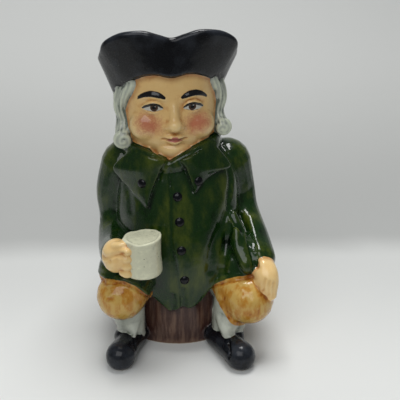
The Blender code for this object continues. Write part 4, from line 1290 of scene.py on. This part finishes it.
def button_tree():
    """Geometry nodes that set one domed button on each point, facing the way that the point notes."""
    tree = bpy.data.node_groups.new("coat_button_row", "GeometryNodeTree")
    made = tree.interface.new_socket
    made("Geometry", in_out="INPUT", socket_type="NodeSocketGeometry")
    radius = made("Button Radius", in_out="INPUT", socket_type="NodeSocketFloat")
    lift = made("Button Lift", in_out="INPUT", socket_type="NodeSocketFloat")
    glaze = made("Button Glaze", in_out="INPUT", socket_type="NodeSocketMaterial")
    made("Geometry", in_out="OUTPUT", socket_type="NodeSocketGeometry")
    new, link = tree.nodes.new, tree.links.new
    given, result = new("NodeGroupInput"), new("NodeGroupOutput")
    dome = new("GeometryNodeMeshUVSphere")
    dome.inputs["Segments"].default_value = 40
    dome.inputs["Rings"].default_value = 20
    link(given.outputs["Button Radius"], dome.inputs["Radius"])
    share = new("ShaderNodeMath")
    share.operation = "DIVIDE"
    link(given.outputs["Button Lift"], share.inputs[0])
    link(given.outputs["Button Radius"], share.inputs[1])
    scale = new("ShaderNodeCombineXYZ")
    scale.inputs[0].default_value = 1.0
    scale.inputs[1].default_value = 1.0
    link(share.outputs[0], scale.inputs[2])
    facing = new("GeometryNodeInputNamedAttribute")
    facing.data_type = "FLOAT_VECTOR"
    facing.inputs["Name"].default_value = "facing"
    turn = new("FunctionNodeAlignRotationToVector")
    turn.axis = "Z"
    link(facing.outputs["Attribute"], turn.inputs["Vector"])
    row = new("GeometryNodeInstanceOnPoints")
    link(given.outputs["Geometry"], row.inputs["Points"])
    link(dome.outputs["Mesh"], row.inputs["Instance"])
    link(turn.outputs["Rotation"], row.inputs["Rotation"])
    link(scale.outputs[0], row.inputs["Scale"])
    real = new("GeometryNodeRealizeInstances")
    link(row.outputs[0], real.inputs[0])
    dress = new("GeometryNodeSetMaterial")
    link(real.outputs[0], dress.inputs["Geometry"])
    link(given.outputs["Button Glaze"], dress.inputs["Material"])
    link(dress.outputs[0], result.inputs[0])
    return tree, radius.identifier, lift.identifier, glaze.identifier


class TOBY_OT_jug(bpy.types.Operator):
    """Model the jug from its forms, hollow, carve and glaze it, and put it in place of the plain solid"""

    bl_idname = "toby.jug"
    bl_label = "Jug"

    def execute(self, context):
        jug = model_jug(context.scene.toby_sizes)
        jug.data.materials.clear()
        jug.data.materials.append(paint_jug(context.scene.toby_glazes))
        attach(jug, "root")
        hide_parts(JUG_NODE)
        return {"FINISHED"}


class TOBY_OT_buttons(bpy.types.Operator):
    """Set the coat's buttons on the modelled jug"""

    bl_idname = "toby.buttons"
    bl_label = "Coat Buttons"

    def execute(self, context):
        jug = bpy.data.objects.get("toby_jug_glazed")
        if jug is None:
            raise RuntimeError("model the jug before its buttons")
        sizes, u = context.scene.toby_sizes, unit()
        tree = BVHTree.FromObject(jug, context.evaluated_depsgraph_get())
        points, facings = [], []
        for x, height in BUTTONS:
            place, normal, _, _ = tree.ray_cast(Vector((x, IN_FRONT, height)) * u, Vector((0, 1, 0)))
            if place is None:
                raise RuntimeError("a button found no coat to sit on")
            points.append(place - normal * BUTTON_SINK * sizes.button_lift)
            facings.append(normal)
        mesh = bpy.data.meshes.new("coat_buttons")
        mesh.from_pydata(points, [], [])
        facing = mesh.attributes.new("facing", "FLOAT_VECTOR", "POINT")
        facing.data.foreach_set("vector", np.array([tuple(f) for f in facings], np.float32).ravel())
        buttons = bpy.data.objects.new("coat_buttons", mesh)
        context.scene.collection.objects.link(buttons)
        group, radius, lift, glaze = button_tree()
        row = buttons.modifiers.new("row", "NODES")
        row.node_group = group
        row[radius] = sizes.button_radius
        row[lift] = sizes.button_lift
        row[glaze] = paint_buttons(context.scene.toby_glazes)
        applied(buttons)
        buttons.data.shade_smooth()
        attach(buttons, "root")
        return {"FINISHED"}


# The sheet, in metres: how far it runs to the sides and the front and rises behind, where it starts to turn
# up, and the radius of the turn.
SHEET_REACH, SHEET_TURN_Y, SHEET_TURN_RADIUS = 3.0, 0.42, 0.30
CAMERA_PLACE = (-0.0400, -0.4278, 0.2490)
CAMERA_VIEW = (0.1124, 0.9157, -0.3859)
CAMERA_LENS = 76.8


def area_light(name, place, aim, width, depth, power, colour=(1.0, 1.0, 1.0)):
    lamp = bpy.data.lights.new(name, "AREA")
    lamp.shape = "RECTANGLE"
    lamp.size, lamp.size_y = width, depth
    lamp.energy = power
    lamp.color = colour
    light = bpy.data.objects.new(name, lamp)
    light.location = place
    light.rotation_euler = (Vector(aim) - Vector(place)).to_track_quat("-Z", "Y").to_euler()
    bpy.context.scene.collection.objects.link(light)
    return light


class TOBY_OT_stage(bpy.types.Operator):
    """Set the pale sheet, the soft lights and the camera"""

    bl_idname = "toby.stage"
    bl_label = "Stage"

    def execute(self, context):
        studio = context.scene.toby_studio
        profile = [(-SHEET_REACH, 0.0), (SHEET_TURN_Y, 0.0)]
        for step in range(1, 13):
            turn = math.radians(90 * step / 12)
            profile.append((SHEET_TURN_Y + SHEET_TURN_RADIUS * math.sin(turn),
                            SHEET_TURN_RADIUS * (1 - math.cos(turn))))
        profile.append((SHEET_TURN_Y + SHEET_TURN_RADIUS, SHEET_REACH))
        points = [(side * SHEET_REACH, y, z) for y, z in profile for side in (-1, 1)]
        faces = [(2 * i, 2 * i + 1, 2 * i + 3, 2 * i + 2) for i in range(len(profile) - 1)]
        mesh = bpy.data.meshes.new("pale_sheet")
        mesh.from_pydata(points, [], faces)
        mesh.shade_smooth()
        sheet = bpy.data.objects.new("pale_sheet", mesh)
        context.scene.collection.objects.link(sheet)
        p = Palette("pale_sheet")
        split = p.tree.nodes.new("ShaderNodeSeparateXYZ")
        p.give(split.inputs[0], p.grid)
        far = p.math("MULTIPLY", p.math("MULTIPLY_ADD", split.outputs["X"], 0.09, split.outputs["Y"]), unit())
        far = p.math("MULTIPLY_ADD", p.noise((1, 1, 1), 0.02, 2.0), 0.012, far)
        tint = tuple(studio.floor)
        # Darker where the camera doesn't see it, so that the dark glazes reflect less.
        beside = p.math("MULTIPLY", p.math("ABSOLUTE", split.outputs["X"]), unit())
        tone = p.mix(p.spread(far, -0.24, -0.12), times(tint, 0.25), tint)
        tone = p.mix(p.spread(beside, 0.20, 0.36), tone, times(tint, 0.30))
        # Painted shade: the sheet darkens towards the back, most in a band just behind the jug, where less
        # light falls.
        tone = p.mix(p.spread(far, -0.09, 0.07), tone, times(tint, 0.82))
        tone = p.mix(p.spread(far, 0.070, 0.110), tone, times(tint, 0.56))
        tone = p.mix(p.spread(far, 0.14, 0.60), tone, times(tint, 0.82))
        p.give(p.shader.inputs["Base Color"], tone)
        p.shader.inputs["Roughness"].default_value = 0.75
        mesh.materials.append(p.material)
        world = context.scene.world or bpy.data.worlds.new("room")
        context.scene.world = world
        world.use_nodes = True
        room = world.node_tree.nodes["Background"]
        room.inputs["Color"].default_value = (0.93, 0.96, 1.0, 1.0)
        room.inputs["Strength"].default_value = studio.sky
        area_light("overhead", (0.05, 0.14, 1.05), (0, 0, 0.08), 0.42, 0.42, studio.key)
        area_light("front", (-0.35, -1.00, 1.15), (0, 0, 0.09), 1.3, 0.9, studio.fill, (0.97, 0.98, 1.0))
        lens = bpy.data.cameras.new("camera")
        lens.lens = CAMERA_LENS
        lens.sensor_width = 36.0
        lens.sensor_fit = "HORIZONTAL"
        lens.clip_start = 0.01
        camera = bpy.data.objects.new("camera", lens)
        camera.location = CAMERA_PLACE
        camera.rotation_euler = Vector(CAMERA_VIEW).to_track_quat("-Z", "Y").to_euler()
        context.scene.collection.objects.link(camera)
        context.scene.camera = camera
        context.scene.view_settings.view_transform = "Standard"
        return {"FINISHED"}


class TOBY_PT_panel(bpy.types.Panel):
    """Lists the jug's sizes, colours and operators"""

    bl_idname = "TOBY_PT_panel"
    bl_label = "Toby Jug"
    bl_space_type = "VIEW_3D"
    bl_region_type = "UI"
    bl_category = "Toby Jug"

    def draw(self, context):
        scene = context.scene
        groups = (("Sizes", scene.toby_sizes), ("Glazes", scene.toby_glazes), ("Studio", scene.toby_studio))
        for title, group in groups:
            box = self.layout.box()
            box.label(text=title)
            for name in group.__annotations__:
                box.prop(group, name)
        for operator in (TOBY_OT_jug, TOBY_OT_buttons, TOBY_OT_stage):
            self.layout.operator(operator.bl_idname)


CLASSES = (JugSizes, JugGlazes, JugStudio, TOBY_OT_jug, TOBY_OT_buttons, TOBY_OT_stage, TOBY_PT_panel)


def register():
    for each in CLASSES:
        bpy.utils.register_class(each)
    bpy.types.Scene.toby_sizes = PointerProperty(type=JugSizes)
    bpy.types.Scene.toby_glazes = PointerProperty(type=JugGlazes)
    bpy.types.Scene.toby_studio = PointerProperty(type=JugStudio)


def unregister():
    del bpy.types.Scene.toby_studio
    del bpy.types.Scene.toby_glazes
    del bpy.types.Scene.toby_sizes
    for each in reversed(CLASSES):
        bpy.utils.unregister_class(each)


def main():
    register()
    bpy.ops.toby.jug()
    bpy.ops.toby.buttons()
    bpy.ops.toby.stage()


if __name__ == "__main__":
    main()
